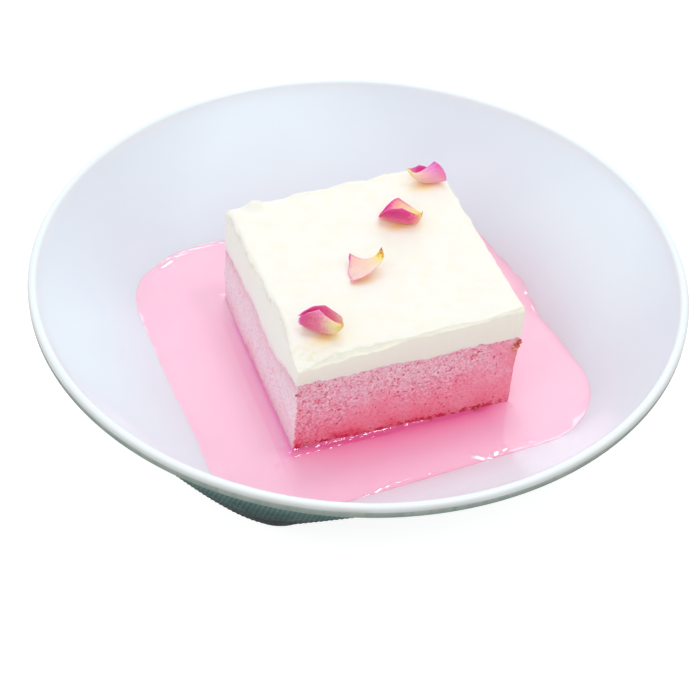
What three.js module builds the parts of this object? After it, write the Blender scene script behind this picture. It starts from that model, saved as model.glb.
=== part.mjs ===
// Rose milk cake: a square of pink sponge with a cream layer and four rose petals,
// standing in a pool of rose milk in a wide white bowl.
// Millimetres, +Z up. The origin is under the middle of the bowl's foot.
import * as THREE from "three";
import { mergeVertices } from "three/addons/utils/BufferGeometryUtils.js";

// Bowl: a round rim lofted down to a rounded square floor
const bowlHeight = 52.4;
const rimRadius = 108;
const lipRadius = 1.6;
const lipDrop = 1.5;
const bowlColumns = 72;
const outerWallRows = 8;
const innerWallRows = 7;
const lipArcSteps = 2;
const outerBase = { half: 59, corner: 13.8, z: 2 };
const innerBase = { half: 59.5, corner: 21.5, z: 6.5 };
const sidePower = 1.13;
const cornerPower = 1.51;
const floorFillet = 1.2;
const footRing = { outer: 56.5, inner: 51, corner: 12, recess: 1.8, bevel: 0.6 };

// Rose milk: a pool up to this level, whose edge climbs the wall a little where it has washed up
const milkLevel = 15;
const touchGap = 0.3;
const washes = [
  { angle: 18, width: 8, rise: 0.7 },
  { angle: 5, width: 7.5, rise: 1.7 },
  { angle: -10, width: 5, rise: -0.6 },
  { angle: -42, width: 14, rise: 0.8 },
  { angle: 154, width: 14, rise: -0.8 },
];

// Cake: the four corners in plan, at the bowl's floor and at the top of the cream
const cakeFoot = { front: [-39.2, -40.1], right: [37.2, -43.8], back: [44.6, 36.2], left: [-35.5, 36.2] };
const cakeTop = { front: [-38.5, -41.5], right: [38.8, -43.0], back: [45.8, 37.9], left: [-33.8, 38.4] };
const creamTopZ = 53.6;
const creamBulge = 0.008;
const cakeFootZ = innerBase.z + touchGap;

// Where the sponge ends and the cream starts: a height at each corner and a few swells
const layerHeight = { front: 43.3, right: 41.3, back: 39.0, left: 37.8 };
const layerSwells = [
  { x: -37, y: 8, spreadX: 9, spreadY: 22, rise: 2.4 },
  { x: -8, y: -43, spreadX: 7, spreadY: 12, rise: 1.0 },
  { x: 8, y: -43, spreadX: 6, spreadY: 10, rise: -0.9 },
  { x: 25, y: -43, spreadX: 6, spreadY: 10, rise: 0.5 },
];

// Relief of the cream's top: the slumped front corner, the spatula's smears and the lumps at the back
const creamRelief = [
  { x: -39, y: -42, spreadX: 12, spreadY: 11, rise: -3.0 },
  { x: -27, y: -33, spreadX: 7, spreadY: 2.2, rise: 0.5 },
  { x: -29, y: -39, spreadX: 6, spreadY: 1.8, rise: 0.5 },
  { x: 1, y: -38, spreadX: 8, spreadY: 2.2, rise: 0.6 },
  { x: -14, y: -41, spreadX: 7, spreadY: 1.8, rise: -0.5 },
  { x: 24, y: -41, spreadX: 6, spreadY: 2.0, rise: -0.5 },
  { x: -24, y: 36.8, spreadX: 2.8, spreadY: 2.6, rise: 2.0 },
  { x: -7, y: 37, spreadX: 4.0, spreadY: 2.4, rise: 0.5 },
  { x: 11, y: 36.5, spreadX: 4.5, spreadY: 2.6, rise: 0.8 },
  { x: 19, y: 37, spreadX: 2.5, spreadY: 2.2, rise: -0.4 },
  { x: 27, y: 37, spreadX: 3.5, spreadY: 2.4, rise: 0.4 },
  { x: -35, y: 39, spreadX: 4.0, spreadY: 4.0, rise: -0.8 },
];

// Petals: sheets rolled up on both sides, from the pale claw to the broad outer end, which points along
// the heading. "near" and "far" are the two sides of the petal's middle line.
const petalThickness = 0.45;
const petals = [
  {
    name: "petal_1", x: 35.0, y: 27.0, heading: -2.8, roll: -32, pitch: 15, length: 13.9, bend: -2.45,
    nearWidth: 10.0, nearCurl: 2.56, nearCut: 0.27, nearFull: 1.27,
    farWidth: 8.7, farCurl: 2.24, farCut: 0.5, farFull: 0.72,
    clawLift: 3.7, endLift: 0.95, shoulder: 0.12,
  },
  {
    name: "petal_2", x: 18.3, y: 10.3, heading: 141.5, roll: 17, pitch: -7.6, length: 14.2, bend: -0.9,
    nearWidth: 9.9, nearCurl: 1.36, nearCut: 0.15, nearFull: 0.58,
    farWidth: 9.8, farCurl: 2.11, farCut: 0.25, farFull: 0.58,
    clawLift: 2.5, endLift: 0.1, shoulder: 0.32,
  },
  {
    name: "petal_3", x: -1.2, y: -8.0, heading: 190, roll: 10.5, pitch: 16, length: 14.0, bend: 0.55,
    nearWidth: 7.6, nearCurl: 1.24, nearCut: 0.29, nearFull: 1.92,
    farWidth: 5.2, farCurl: 0.41, farCut: -0.09, farFull: 0.41,
    clawLift: 2.3, endLift: 1.2, shoulder: 0.45,
  },
  {
    name: "petal_4", x: -27.0, y: -31.8, heading: 122, roll: 29, pitch: 5.5, length: 14.8, bend: 1.86,
    nearWidth: 10.9, nearCurl: 2.16, nearCut: 0.03, nearFull: 0.61,
    farWidth: 10.3, farCurl: 2.8, farCut: 0.11, farFull: 0.61,
    clawLift: 3.9, endLift: 1.6, shoulder: 0.44,
  },
];

const materials = {
  bowl: new THREE.MeshStandardMaterial({ color: 0xeaf0f8, roughness: 0.15, metalness: 0 }),
  milk: new THREE.MeshStandardMaterial({ color: 0xfdbfd8, roughness: 0.08, metalness: 0 }),
  sponge: new THREE.MeshStandardMaterial({ color: 0xdc8fa0, roughness: 0.85, metalness: 0 }),
  cream: new THREE.MeshStandardMaterial({ color: 0xfdfcf2, roughness: 0.55, metalness: 0 }),
  petal: new THREE.MeshStandardMaterial({ color: 0xd06a94, roughness: 0.5, metalness: 0, side: THREE.DoubleSide }),
};

const radians = THREE.MathUtils.degToRad;
const lerp = THREE.MathUtils.lerp;

// A sum of rounded hills, each of its own width in X and Y
function hills(list, x, y) {
  return list.reduce((sum, h) => {
    const dx = (x - h.x) / h.spreadX;
    const dy = (y - h.y) / h.spreadY;
    return sum + h.rise * Math.exp(-(dx * dx + dy * dy));
  }, 0);
}

// How far a rounded square reaches from its middle, towards an angle
function squareReach(angle, half, corner) {
  const folded = Math.abs(((angle + Math.PI / 4) % (Math.PI / 2) + Math.PI / 2) % (Math.PI / 2) - Math.PI / 4);
  const flat = half - corner;
  if (Math.tan(folded) * half <= flat) {
    return half / Math.cos(folded);
  }
  const along = flat * (Math.cos(folded) + Math.sin(folded));
  return along + Math.sqrt(along * along - 2 * flat * flat + corner * corner);
}

// The wall at a height: square at its base, round where it meets the rim
function wallReach(angle, z, base, top) {
  const rise = Math.max(0, (z - base.z) / (top.z - base.z));
  const half = lerp(base.half, top.radius, Math.pow(rise, sidePower));
  const corner = Math.min(lerp(base.corner, top.radius, Math.pow(rise, cornerPower)), half);
  return squareReach(angle, half, corner);
}

const outerTop = { radius: rimRadius - lipRadius * 2 + 0.2, z: bowlHeight - lipRadius * 2 - lipDrop + 0.2 };
const innerTop = { radius: rimRadius - lipRadius * 2, z: bowlHeight - lipRadius };
const innerWall = (angle, z) => wallReach(angle, z, innerBase, innerTop);
const outerWall = (angle, z) => wallReach(angle, z, outerBase, outerTop);

// A closed mesh from level rings of points, each ring with the same number of points.
// A ring of one point closes the surface, and without such ends the last ring joins the first.
function ringsToGeometry(rings) {
  const count = Math.max(...rings.map((ring) => ring.length));
  const positions = [];
  const starts = rings.map((ring) => {
    const start = positions.length / 3;
    ring.forEach((point) => positions.push(...point));
    return start;
  });
  const index = [];
  const joined = rings[0].length > 1;
  const bands = joined ? rings.length : rings.length - 1;
  for (let r = 0; r < bands; r += 1) {
    const next = (r + 1) % rings.length;
    for (let c = 0; c < count; c += 1) {
      const d = (c + 1) % count;
      const a = starts[r] + (rings[r].length > 1 ? c : 0);
      const b = starts[r] + (rings[r].length > 1 ? d : 0);
      const e = starts[next] + (rings[next].length > 1 ? c : 0);
      const f = starts[next] + (rings[next].length > 1 ? d : 0);
      if (a !== b) index.push(a, b, f);
      if (e !== f) index.push(a, f, e);
    }
  }
  const geometry = new THREE.BufferGeometry();
  geometry.setAttribute("position", new THREE.Float32BufferAttribute(positions, 3));
  geometry.setIndex(index);
  geometry.computeVertexNormals();
  return geometry;
}

const ringAngles = (count) => Array.from({ length: count }, (_, i) => (i / count) * Math.PI * 2);
const levelRing = (angles, z, reach) => angles.map((a) => [reach(a) * Math.cos(a), reach(a) * Math.sin(a), z]);

// Bowl: up the foot and the outside wall, over the lip, and down the inside wall to the floor
function makeBowl() {
  const angles = ringAngles(bowlColumns);
  const squareRing = (half, corner, z) => levelRing(angles, z, (a) => squareReach(a, half, corner));
  const rings = [[[0, 0, footRing.recess]]];
  rings.push(squareRing(footRing.inner - footRing.bevel, footRing.corner - footRing.bevel, footRing.recess));
  rings.push(squareRing(footRing.inner, footRing.corner, 0));
  rings.push(squareRing(footRing.outer, footRing.corner, 0));
  rings.push(squareRing(footRing.outer + footRing.bevel, footRing.corner + footRing.bevel, footRing.bevel));
  for (let i = 0; i <= outerWallRows; i += 1) {
    const z = lerp(outerBase.z, outerTop.z, Math.pow(i / outerWallRows, 1.2));
    rings.push(levelRing(angles, z, (a) => outerWall(a, z)));
  }
  const lipMiddle = rimRadius - lipRadius;
  const lipArc = (fromDegrees, toDegrees, z) => {
    for (let i = 0; i <= lipArcSteps; i += 1) {
      const turn = radians(lerp(fromDegrees, toDegrees, i / lipArcSteps));
      const radius = lipMiddle + lipRadius * Math.cos(turn);
      rings.push(levelRing(angles, z + lipRadius * Math.sin(turn), () => radius));
    }
  };
  lipArc(-75, 0, bowlHeight - lipRadius - lipDrop);
  rings.push(levelRing(angles, bowlHeight - lipRadius, () => rimRadius));
  lipArc(45, 135, bowlHeight - lipRadius);
  for (let i = innerWallRows; i >= 0; i -= 1) {
    const z = lerp(innerBase.z + floorFillet, innerTop.z, Math.pow(i / innerWallRows, 1.2));
    rings.push(levelRing(angles, z, (a) => innerWall(a, z)));
  }
  rings.push(squareRing(innerBase.half - floorFillet, innerBase.corner - floorFillet, innerBase.z));
  rings.push([[0, 0, innerBase.z]]);
  return ringsToGeometry(rings);
}

// A point of the cake's plan: u runs along the front edge and v from the front edge to the back
function planPoint(corners, u, v) {
  return [0, 1].map((axis) => lerp(
    lerp(corners.front[axis], corners.right[axis], u),
    lerp(corners.left[axis], corners.back[axis], u),
    v,
  ));
}

// The cake's plan at a height, between its foot and its top
function planAt(z) {
  const share = (z - cakeFootZ) / (creamTopZ - cakeFootZ);
  const corner = (name) => [0, 1].map((axis) => lerp(cakeFoot[name][axis], cakeTop[name][axis], share));
  return { front: corner("front"), right: corner("right"), back: corner("back"), left: corner("left") };
}

// The height where the cream starts, over a point of the plan
function layerZ(u, v, x, y) {
  const front = lerp(layerHeight.front, layerHeight.right, u);
  const back = lerp(layerHeight.left, layerHeight.back, u);
  return lerp(front, back, v) + hills(layerSwells, x, y);
}

const creamZ = (x, y) => creamTopZ + hills(creamRelief, x, y);

// Steps from 0 to 1 that stand closer together near both ends
const easeToEnds = (t, strength) => t - (strength * Math.sin(2 * Math.PI * t)) / (2 * Math.PI);

// A block with the cake's plan: its edges are rounded in a box of its own size, and then
// the box is carried onto the plan, between a bottom height and a top height over each point
function makeBlock({ columns, rows, edge, roundTop, bulge, bottomZ, topZ }) {
  const side = 78;
  const tall = 20;
  const box = new THREE.BoxGeometry(1, 1, 1, columns, columns, rows);
  box.deleteAttribute("normal");
  box.deleteAttribute("uv");
  const geometry = mergeVertices(box.translate(0.5, 0.5, 0.5));
  const position = geometry.attributes.position;
  for (let i = 0; i < position.count; i += 1) {
    const x = easeToEnds(position.getX(i), 0.7) * side;
    const y = easeToEnds(position.getY(i), 0.7) * side;
    const z = position.getZ(i) * tall;
    const core = new THREE.Vector3(
      THREE.MathUtils.clamp(x, edge, side - edge),
      THREE.MathUtils.clamp(y, edge, side - edge),
      roundTop ? Math.min(z, tall - edge) : z,
    );
    const out = new THREE.Vector3(x, y, z).sub(core);
    const reach = Math.max(Math.abs(out.x), Math.abs(out.y), Math.abs(out.z));
    const point = reach > 0 ? core.add(out.normalize().multiplyScalar(reach)) : core;
    const u = point.x / side;
    const v = point.y / side;
    const [topX, topY] = planPoint(cakeTop, u, v);
    const low = bottomZ(u, v, topX, topY);
    const high = topZ(u, v, topX, topY);
    const height = lerp(low, high, point.z / tall);
    const swell = 1 + bulge * Math.sin((Math.PI * point.z) / tall);
    position.setXYZ(i, ...planPoint(planAt(height), 0.5 + (u - 0.5) * swell, 0.5 + (v - 0.5) * swell), height);
  }
  geometry.computeVertexNormals();
  return geometry;
}

function makeSponge() {
  return makeBlock({
    columns: 14,
    rows: 5,
    edge: 0.9,
    roundTop: false,
    bulge: 0,
    bottomZ: () => cakeFootZ,
    topZ: (u, v, x, y) => layerZ(u, v, x, y) - touchGap / 2,
  });
}

function makeCream() {
  return makeBlock({
    columns: 19,
    rows: 4,
    edge: 1.7,
    roundTop: true,
    bulge: creamBulge,
    bottomZ: (u, v, x, y) => layerZ(u, v, x, y) + touchGap / 2,
    topZ: (u, v, x, y) => creamZ(x, y),
  });
}

// How far the cake's outline, made larger by a gap, reaches from the origin towards an angle
function cakeReach(angle, corners, gap) {
  const ring = [corners.front, corners.right, corners.back, corners.left];
  const reaches = ring.map((from, i) => {
    const to = ring[(i + 1) % ring.length];
    const length = Math.hypot(to[0] - from[0], to[1] - from[1]);
    const normal = [(to[1] - from[1]) / length, (from[0] - to[0]) / length];
    const facing = normal[0] * Math.cos(angle) + normal[1] * Math.sin(angle);
    const distance = normal[0] * from[0] + normal[1] * from[1] + gap;
    return facing > 0 ? distance / facing : Infinity;
  });
  return Math.min(...reaches);
}

// Rose milk: level, cut round the cake, with an edge that follows the bowl's wall
function makeMilk() {
  const clear = touchGap + 0.2;
  const hole = planAt(milkLevel);
  const angles = ringAngles(bowlColumns);
  Object.values(hole).forEach(([x, y]) => {
    const cornerAngle = (Math.atan2(y, x) + 2 * Math.PI) % (2 * Math.PI);
    angles[Math.round((cornerAngle / (2 * Math.PI)) * bowlColumns) % bowlColumns] = cornerAngle;
  });
  const rise = (a) => washes.reduce((sum, wash) => {
    const apart = THREE.MathUtils.euclideanModulo(THREE.MathUtils.radToDeg(a) - wash.angle + 180, 360) - 180;
    return sum + wash.rise * Math.exp(-((apart / wash.width) ** 2));
  }, 0);
  const wallPoint = (a, z) => {
    const radius = innerWall(a, z) - clear;
    return [radius * Math.cos(a), radius * Math.sin(a), z];
  };
  const holePoint = (a, z) => {
    const radius = cakeReach(a, hole, clear);
    return [radius * Math.cos(a), radius * Math.sin(a), z];
  };
  const between = (share) => angles.map((a) => {
    const outer = wallPoint(a, milkLevel + rise(a));
    const inner = holePoint(a, milkLevel);
    const climb = rise(a) * Math.pow(share, 4);
    return [lerp(inner[0], outer[0], share), lerp(inner[1], outer[1], share), milkLevel + climb];
  });
  const bottomZ = innerBase.z + touchGap;
  const rings = [
    angles.map((a) => holePoint(a, bottomZ)),
    angles.map((a) => wallPoint(a, bottomZ)).map(([x, y, z]) => [x * 0.975, y * 0.975, z]),
    angles.map((a) => wallPoint(a, innerBase.z + floorFillet + touchGap)),
    angles.map((a) => wallPoint(a, lerp(innerBase.z, milkLevel, 0.6))),
    angles.map((a) => wallPoint(a, milkLevel + rise(a))),
    ...[0.94, 0.8, 0.4, 0].map(between),
  ];
  return ringsToGeometry(rings);
}

// A petal's middle sheet: s runs from the claw to the outer end and t from the near edge to the far one.
// Across, each side is an arc that rolls up by its own curl; along, the half width grows from the claw
// and narrows again at the end, the corners of the end are cut back, and both ends lift off the cream.
function petalPoint(petal, s, t) {
  const side = t < 0 ? "near" : "far";
  const curl = petal[`${side}Curl`];
  const growth = 0.14 + 0.86 * Math.pow(Math.sin((Math.PI / 2) * Math.pow(s, petal[`${side}Full`])), 1.2);
  const pastShoulder = Math.max(0, (s - 0.7) / 0.3);
  const half = petal[`${side}Width`] * growth * (1 - petal.shoulder * pastShoulder ** 2);
  return new THREE.Vector3(
    petal.length * (s - 0.5 - petal[`${side}Cut`] * s ** 3 * t ** 2),
    (half * Math.sin(t * curl)) / curl + petal.bend * (2 * s - 1) ** 2,
    (half * (1 - Math.cos(t * curl))) / curl + petal.clawLift * (1 - s) ** 3 + petal.endLift * s ** 3,
  );
}

// A petal: the sheet's two faces, half the thickness out along its normals, closed round the rim
function makePetal(petal) {
  const along = 12;
  const across = 12;
  const step = 0.01;
  const faces = [-1, 1].map((side) => {
    const grid = [];
    for (let i = 0; i <= along; i += 1) {
      const s = Math.pow(i / along, 0.85);
      for (let j = 0; j <= across; j += 1) {
        const t = Math.sin((j / across - 0.5) * Math.PI);
        const point = petalPoint(petal, s, t);
        const edgeS = petalPoint(petal, Math.min(s + step, 1), t).sub(petalPoint(petal, Math.max(s - step, 0), t));
        const edgeT = petalPoint(petal, s, Math.min(t + step, 1)).sub(petalPoint(petal, s, Math.max(t - step, -1)));
        const normal = edgeS.cross(edgeT).normalize();
        grid.push(point.addScaledVector(normal, (side * petalThickness) / 2));
      }
    }
    return grid;
  });
  const turn = new THREE.Matrix4().makeRotationZ(radians(petal.heading));
  turn.multiply(new THREE.Matrix4().makeRotationY(radians(petal.pitch)));
  turn.multiply(new THREE.Matrix4().makeRotationX(radians(petal.roll)));
  turn.premultiply(new THREE.Matrix4().makeTranslation(petal.x, petal.y, 0));
  const points = faces.flat().map((point) => point.applyMatrix4(turn));
  const lowest = Math.min(...points.map((point) => point.z - creamZ(point.x, point.y)));
  const wide = across + 1;
  const half = (along + 1) * wide;
  const index = [];
  const quad = (a, b, c, d) => index.push(a, b, c, a, c, d);
  for (let i = 0; i < along; i += 1) {
    for (let j = 0; j < across; j += 1) {
      const a = i * wide + j;
      index.push(a + wide + 1, a + wide, a, a + 1, a + wide + 1, a);
      index.push(half + a, half + a + wide, half + a + wide + 1, half + a, half + a + wide + 1, half + a + 1);
    }
    const left = i * wide;
    const right = i * wide + across;
    quad(left, left + wide, half + left + wide, half + left);
    quad(half + right, half + right + wide, right + wide, right);
  }
  for (let j = 0; j < across; j += 1) {
    const end = along * wide + j;
    quad(half + j, half + j + 1, j + 1, j);
    quad(end, end + 1, half + end + 1, half + end);
  }
  const geometry = new THREE.BufferGeometry();
  const flat = points.flatMap((point) => [point.x, point.y, point.z - lowest + touchGap]);
  geometry.setAttribute("position", new THREE.Float32BufferAttribute(flat, 3));
  geometry.setIndex(index);
  geometry.computeVertexNormals();
  return geometry;
}

function named(name, geometry, material) {
  const mesh = new THREE.Mesh(geometry, material);
  mesh.name = name;
  return mesh;
}

const cake = new THREE.Group();
cake.add(named("bowl", makeBowl(), materials.bowl));
cake.add(named("rose_milk", makeMilk(), materials.milk));
cake.add(named("sponge", makeSponge(), materials.sponge));
cake.add(named("cream", makeCream(), materials.cream));
petals.forEach((petal) => cake.add(named(petal.name, makePetal(petal), materials.petal)));

export default cake;
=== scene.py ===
import itertools
import bpy
import numpy as np
from mathutils import Matrix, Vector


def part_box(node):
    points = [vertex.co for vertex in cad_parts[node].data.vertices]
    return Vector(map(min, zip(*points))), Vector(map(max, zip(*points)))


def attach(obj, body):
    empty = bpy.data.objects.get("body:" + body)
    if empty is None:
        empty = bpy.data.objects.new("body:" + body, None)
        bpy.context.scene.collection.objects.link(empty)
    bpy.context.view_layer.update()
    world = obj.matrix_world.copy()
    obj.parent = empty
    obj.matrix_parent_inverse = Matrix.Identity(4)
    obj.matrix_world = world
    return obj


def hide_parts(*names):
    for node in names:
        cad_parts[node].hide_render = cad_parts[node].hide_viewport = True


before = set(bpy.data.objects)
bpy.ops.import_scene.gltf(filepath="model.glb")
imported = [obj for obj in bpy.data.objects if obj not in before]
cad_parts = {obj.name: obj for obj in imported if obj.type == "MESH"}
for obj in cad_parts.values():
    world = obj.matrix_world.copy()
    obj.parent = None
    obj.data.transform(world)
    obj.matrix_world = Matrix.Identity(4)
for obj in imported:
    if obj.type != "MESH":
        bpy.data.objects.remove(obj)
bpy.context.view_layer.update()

mm = 0.001


# Helpers are plain functions of arrays, and every noise is seeded by a fixed number
def paint(red, green, blue):
    # A colour given as on a screen, 0 to 255, in Blender's linear values
    share = np.array([red, green, blue]) / 255
    linear = np.where(share <= 0.04045, share / 12.92, ((share + 0.055) / 1.055) ** 2.4)
    return (*linear.tolist(), 1.0)


def smoothStep(low, high, value):
    # 0 below low, 1 above high, and an S-shaped rise between them
    share = np.clip((value - low) / (high - low), 0, 1)
    return share * share * (3 - 2 * share)


def easeToEnds(share, strength):
    # Steps from 0 to 1 that stand closer together near both ends: t - strength sin(2 pi t) / 2 pi
    return share - strength * np.sin(2 * np.pi * share) / (2 * np.pi)


def hills(spots, x, y):
    # Sum of rounded hills: rise * exp(-(dx / spreadX)^2 - (dy / spreadY)^2) for each spot
    total = np.zeros_like(x)
    for middleX, middleY, spreadX, spreadY, rise in spots:
        total += rise * np.exp(-((x - middleX) / spreadX) ** 2 - ((y - middleY) / spreadY) ** 2)
    return total


def bell(distance, width):
    # exp(-(distance / width)^2): 1 at no distance, and fading alike to both sides
    return np.exp(-(distance / width) ** 2)


def readTable(place, table):
    # The value at each place, on straight lines between a table's (place, value) pairs
    return np.interp(place, *zip(*table))


def alongAcross(dx, dy, turned):
    # A step measured along and across a direction that is turned by so many degrees from X
    turn = np.radians(turned)
    return dx * np.cos(turn) + dy * np.sin(turn), dy * np.cos(turn) - dx * np.sin(turn)


def flatPoints(x, y):
    # Points at height 0, for noise that is alike all the way up
    return np.stack([x, y, np.zeros_like(x)], -1)


def cellNumber(cell, seed):
    # A fixed number from 0 to 1 for each whole-number cell, by multiplying and folding its bits
    mixed = cell[..., 0] * 374761393 + cell[..., 1] * 668265263 + cell[..., 2] * 1440662683
    mixed = (mixed + seed * 974711) & 0xFFFFFFFF
    mixed = ((mixed ^ (mixed >> 13)) * 1274126177) & 0xFFFFFFFF
    return (mixed ^ (mixed >> 16)) / 0xFFFFFFFF


def roughness(points, size, seed, octaves=1):
    # Value noise from -1 to 1: a random height at each corner of a lattice of the given size,
    # blended smoothly between corners, plus halved copies at half the size for each further octave
    total = np.zeros(points.shape[:-1])
    for octave in range(octaves):
        scaled = points / size * 2 ** octave
        cell = np.floor(scaled).astype(np.int64)
        part = scaled - cell
        part = part * part * (3 - 2 * part)
        for corner in itertools.product((0, 1), repeat=3):
            weight = np.prod(np.where(np.array(corner), part, 1 - part), axis=-1)
            total += weight * (cellNumber(cell + corner, seed + octave) * 2 - 1) / 2 ** octave
    return total


def pores(points, size, seed):
    # Cellular noise: one point at random in each cell; gives the distance to the nearest one,
    # in cells, and that point's own random number
    scaled = points / size
    cell = np.floor(scaled).astype(np.int64)
    nearest = np.full(points.shape[:-1], 9.0)
    number = np.zeros(points.shape[:-1])
    for step in itertools.product((-1, 0, 1), repeat=3):
        there = cell + step
        spot = there + np.stack([cellNumber(there, seed + axis) for axis in (1, 2, 3)], axis=-1)
        distance = np.linalg.norm(scaled - spot, axis=-1)
        closer = distance < nearest
        nearest = np.where(closer, distance, nearest)
        number = np.where(closer, cellNumber(there, seed + 4), number)
    return nearest, number


def gridFaces(rows, columns, joinColumns=True, joinRows=False):
    # The quads of a grid of points. They face outwards where the columns run anticlockwise seen from
    # above and the rows run from under the piece, up its outside and back over its top
    row = np.arange(rows if joinRows else rows - 1)[:, None]
    column = np.arange(columns if joinColumns else columns - 1)[None, :]
    here, above = row * columns, (row + 1) % rows * columns
    beside = (column + 1) % columns
    quads = np.broadcast_arrays(here + column, here + beside, above + beside, above + column)
    return np.stack(quads, -1).reshape(-1, 4)


def closedFaces(rows, columns):
    # The grid's quads, and triangles that close its first and last row to a middle point each; the
    # two middle points follow the grid's own
    column = np.arange(columns)
    beside = (column + 1) % columns
    end = (rows - 1) * columns
    middle = np.full(columns, rows * columns)
    start = np.stack([middle, beside, column], -1)
    stop = np.stack([end + column, end + beside, middle + 1], -1)
    return [gridFaces(rows, columns), np.concatenate([start, stop])]


def meshPiece(name, points, faces, materials, values=None, faceMaterial=None):
    # points in millimetres; faces is a list of arrays, of quads or triangles; values are numbers kept
    # at the points for the materials to read; faceMaterial says which material each face has
    mesh = bpy.data.meshes.new(name)
    mesh.from_pydata((points * mm).tolist(), [], [face for block in faces for face in block.tolist()])
    for key, numbers in (values or {}).items():
        kept = mesh.attributes.new(key, "FLOAT", "POINT")
        kept.data.foreach_set("value", numbers.astype(np.float32).ravel())
    mesh.polygons.foreach_set("use_smooth", np.ones(len(mesh.polygons), bool))
    for material in materials:
        mesh.materials.append(material)
    if faceMaterial is not None:
        mesh.polygons.foreach_set("material_index", faceMaterial.astype(np.int32))
    mesh.validate()
    piece = bpy.data.objects.new(name, mesh)
    bpy.context.scene.collection.objects.link(piece)
    return piece


# Short forms for shader nodes
def newMaterial(name):
    material = bpy.data.materials.new(name)
    material.use_nodes = True
    return material, material.node_tree, material.node_tree.nodes["Principled BSDF"]


def plug(tree, socket, value):
    # A socket takes a plain value, or a link from another node
    if isinstance(value, bpy.types.NodeSocket):
        tree.links.new(value, socket)
    else:
        socket.default_value = value


def setSockets(tree, shader, **values):
    for key, value in values.items():
        plug(tree, shader.inputs[key.replace("_", " ")], value)


def readNumber(tree, name):
    reader = tree.nodes.new("ShaderNodeAttribute")
    reader.attribute_name = name
    return reader.outputs["Fac"]


def noiseNode(tree, size, detail=3, stretch=(1, 1, 1)):
    # Noise on the piece's own coordinates; size is its feature size in millimetres
    place = tree.nodes.new("ShaderNodeTexCoord").outputs["Object"]
    mapping = tree.nodes.new("ShaderNodeMapping")
    mapping.inputs["Scale"].default_value = stretch
    tree.links.new(place, mapping.inputs["Vector"])
    noise = tree.nodes.new("ShaderNodeTexNoise")
    noise.inputs["Scale"].default_value = 1 / (size * mm)
    noise.inputs["Detail"].default_value = detail
    tree.links.new(mapping.outputs["Vector"], noise.inputs["Vector"])
    return noise.outputs[0]


def mathNode(tree, operation, first, second, clamp=False):
    math = tree.nodes.new("ShaderNodeMath")
    math.operation = operation
    math.use_clamp = clamp
    plug(tree, math.inputs[0], first)
    plug(tree, math.inputs[1], second)
    return math.outputs[0]


def timesNode(tree, first, second):
    return mathNode(tree, "MULTIPLY", first, second)


def rangeNode(tree, value, low, high, toLow=0.0, toHigh=1.0):
    # Carries low..high onto toLow..toHigh and stays within it
    remap = tree.nodes.new("ShaderNodeMapRange")
    tree.links.new(value, remap.inputs[0])
    for socket, number in zip(list(remap.inputs)[1:5], (low, high, toLow, toHigh)):
        socket.default_value = number
    return remap.outputs[0]


def rampNode(tree, value, stops):
    # stops are (place from 0 to 1, screen colour)
    ramp = tree.nodes.new("ShaderNodeValToRGB")
    elements = ramp.color_ramp.elements
    elements.remove(elements[1])
    elements[0].position = stops[0][0]
    elements[0].color = paint(*stops[0][1])
    for place, colour in stops[1:]:
        elements.new(place).color = paint(*colour)
    tree.links.new(value, ramp.inputs["Fac"])
    return ramp.outputs["Color"]


def mixNode(tree, share, first, second, blend="MIX"):
    # first and second are sockets or screen colours
    mix = tree.nodes.new("ShaderNodeMix")
    mix.data_type = "RGBA"
    mix.blend_type = blend
    plug(tree, mix.inputs[0], share)
    for socket, colour in ((mix.inputs[6], first), (mix.inputs[7], second)):
        plug(tree, socket, paint(*colour) if isinstance(colour, tuple) else colour)
    return mix.outputs[2]


def bumpNode(tree, shader, height, depth, strength=1.0):
    # depth in millimetres
    bump = tree.nodes.new("ShaderNodeBump")
    bump.inputs["Strength"].default_value = strength
    bump.inputs["Distance"].default_value = depth * mm
    tree.links.new(height, bump.inputs["Height"])
    tree.links.new(bump.outputs["Normal"], shader.inputs["Normal"])


# Camera: where the photograph was taken from
camera = {
    "azimuth": -25.17, "elevation": 43.41, "roll": -3.10,  # degrees
    "lookAt": (-3.657, -3.678, 15.0), "distance": 500.0,
    "lens": 74.57, "sensor": 36.0, "nearest": 20.0,
}


def facing(azimuth, elevation):
    # Away from the middle by azimuth and elevation in degrees: (sin a cos e, -cos a cos e, sin e),
    # with the level direction to its side and the one up from both
    turn, tilt = np.radians([azimuth, elevation])
    away = np.array([np.sin(turn) * np.cos(tilt), -np.cos(turn) * np.cos(tilt), np.sin(tilt)])
    side = np.cross([0, 0, 1], away)
    side /= np.linalg.norm(side)
    return away, side, np.cross(away, side)


def placeCamera():
    # Looks along minus "back"; side and up are turned by the roll about it
    back, side, up = facing(camera["azimuth"], camera["elevation"])
    roll = np.radians(camera["roll"])
    turnedSide = side * np.cos(roll) - up * np.sin(roll)
    turnedUp = side * np.sin(roll) + up * np.cos(roll)
    lens = bpy.data.cameras.new("camera")
    lens.lens = camera["lens"]
    lens.sensor_width = camera["sensor"]
    lens.clip_start = camera["nearest"] * mm
    eye = bpy.data.objects.new("camera", lens)
    eye.matrix_world = Matrix(np.column_stack([turnedSide, turnedUp, back]).tolist()).to_4x4()
    eye.location = (np.array(camera["lookAt"]) + back * camera["distance"]) * mm
    bpy.context.scene.collection.objects.link(eye)
    bpy.context.scene.camera = eye


placeCamera()
print("camera placed")


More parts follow.
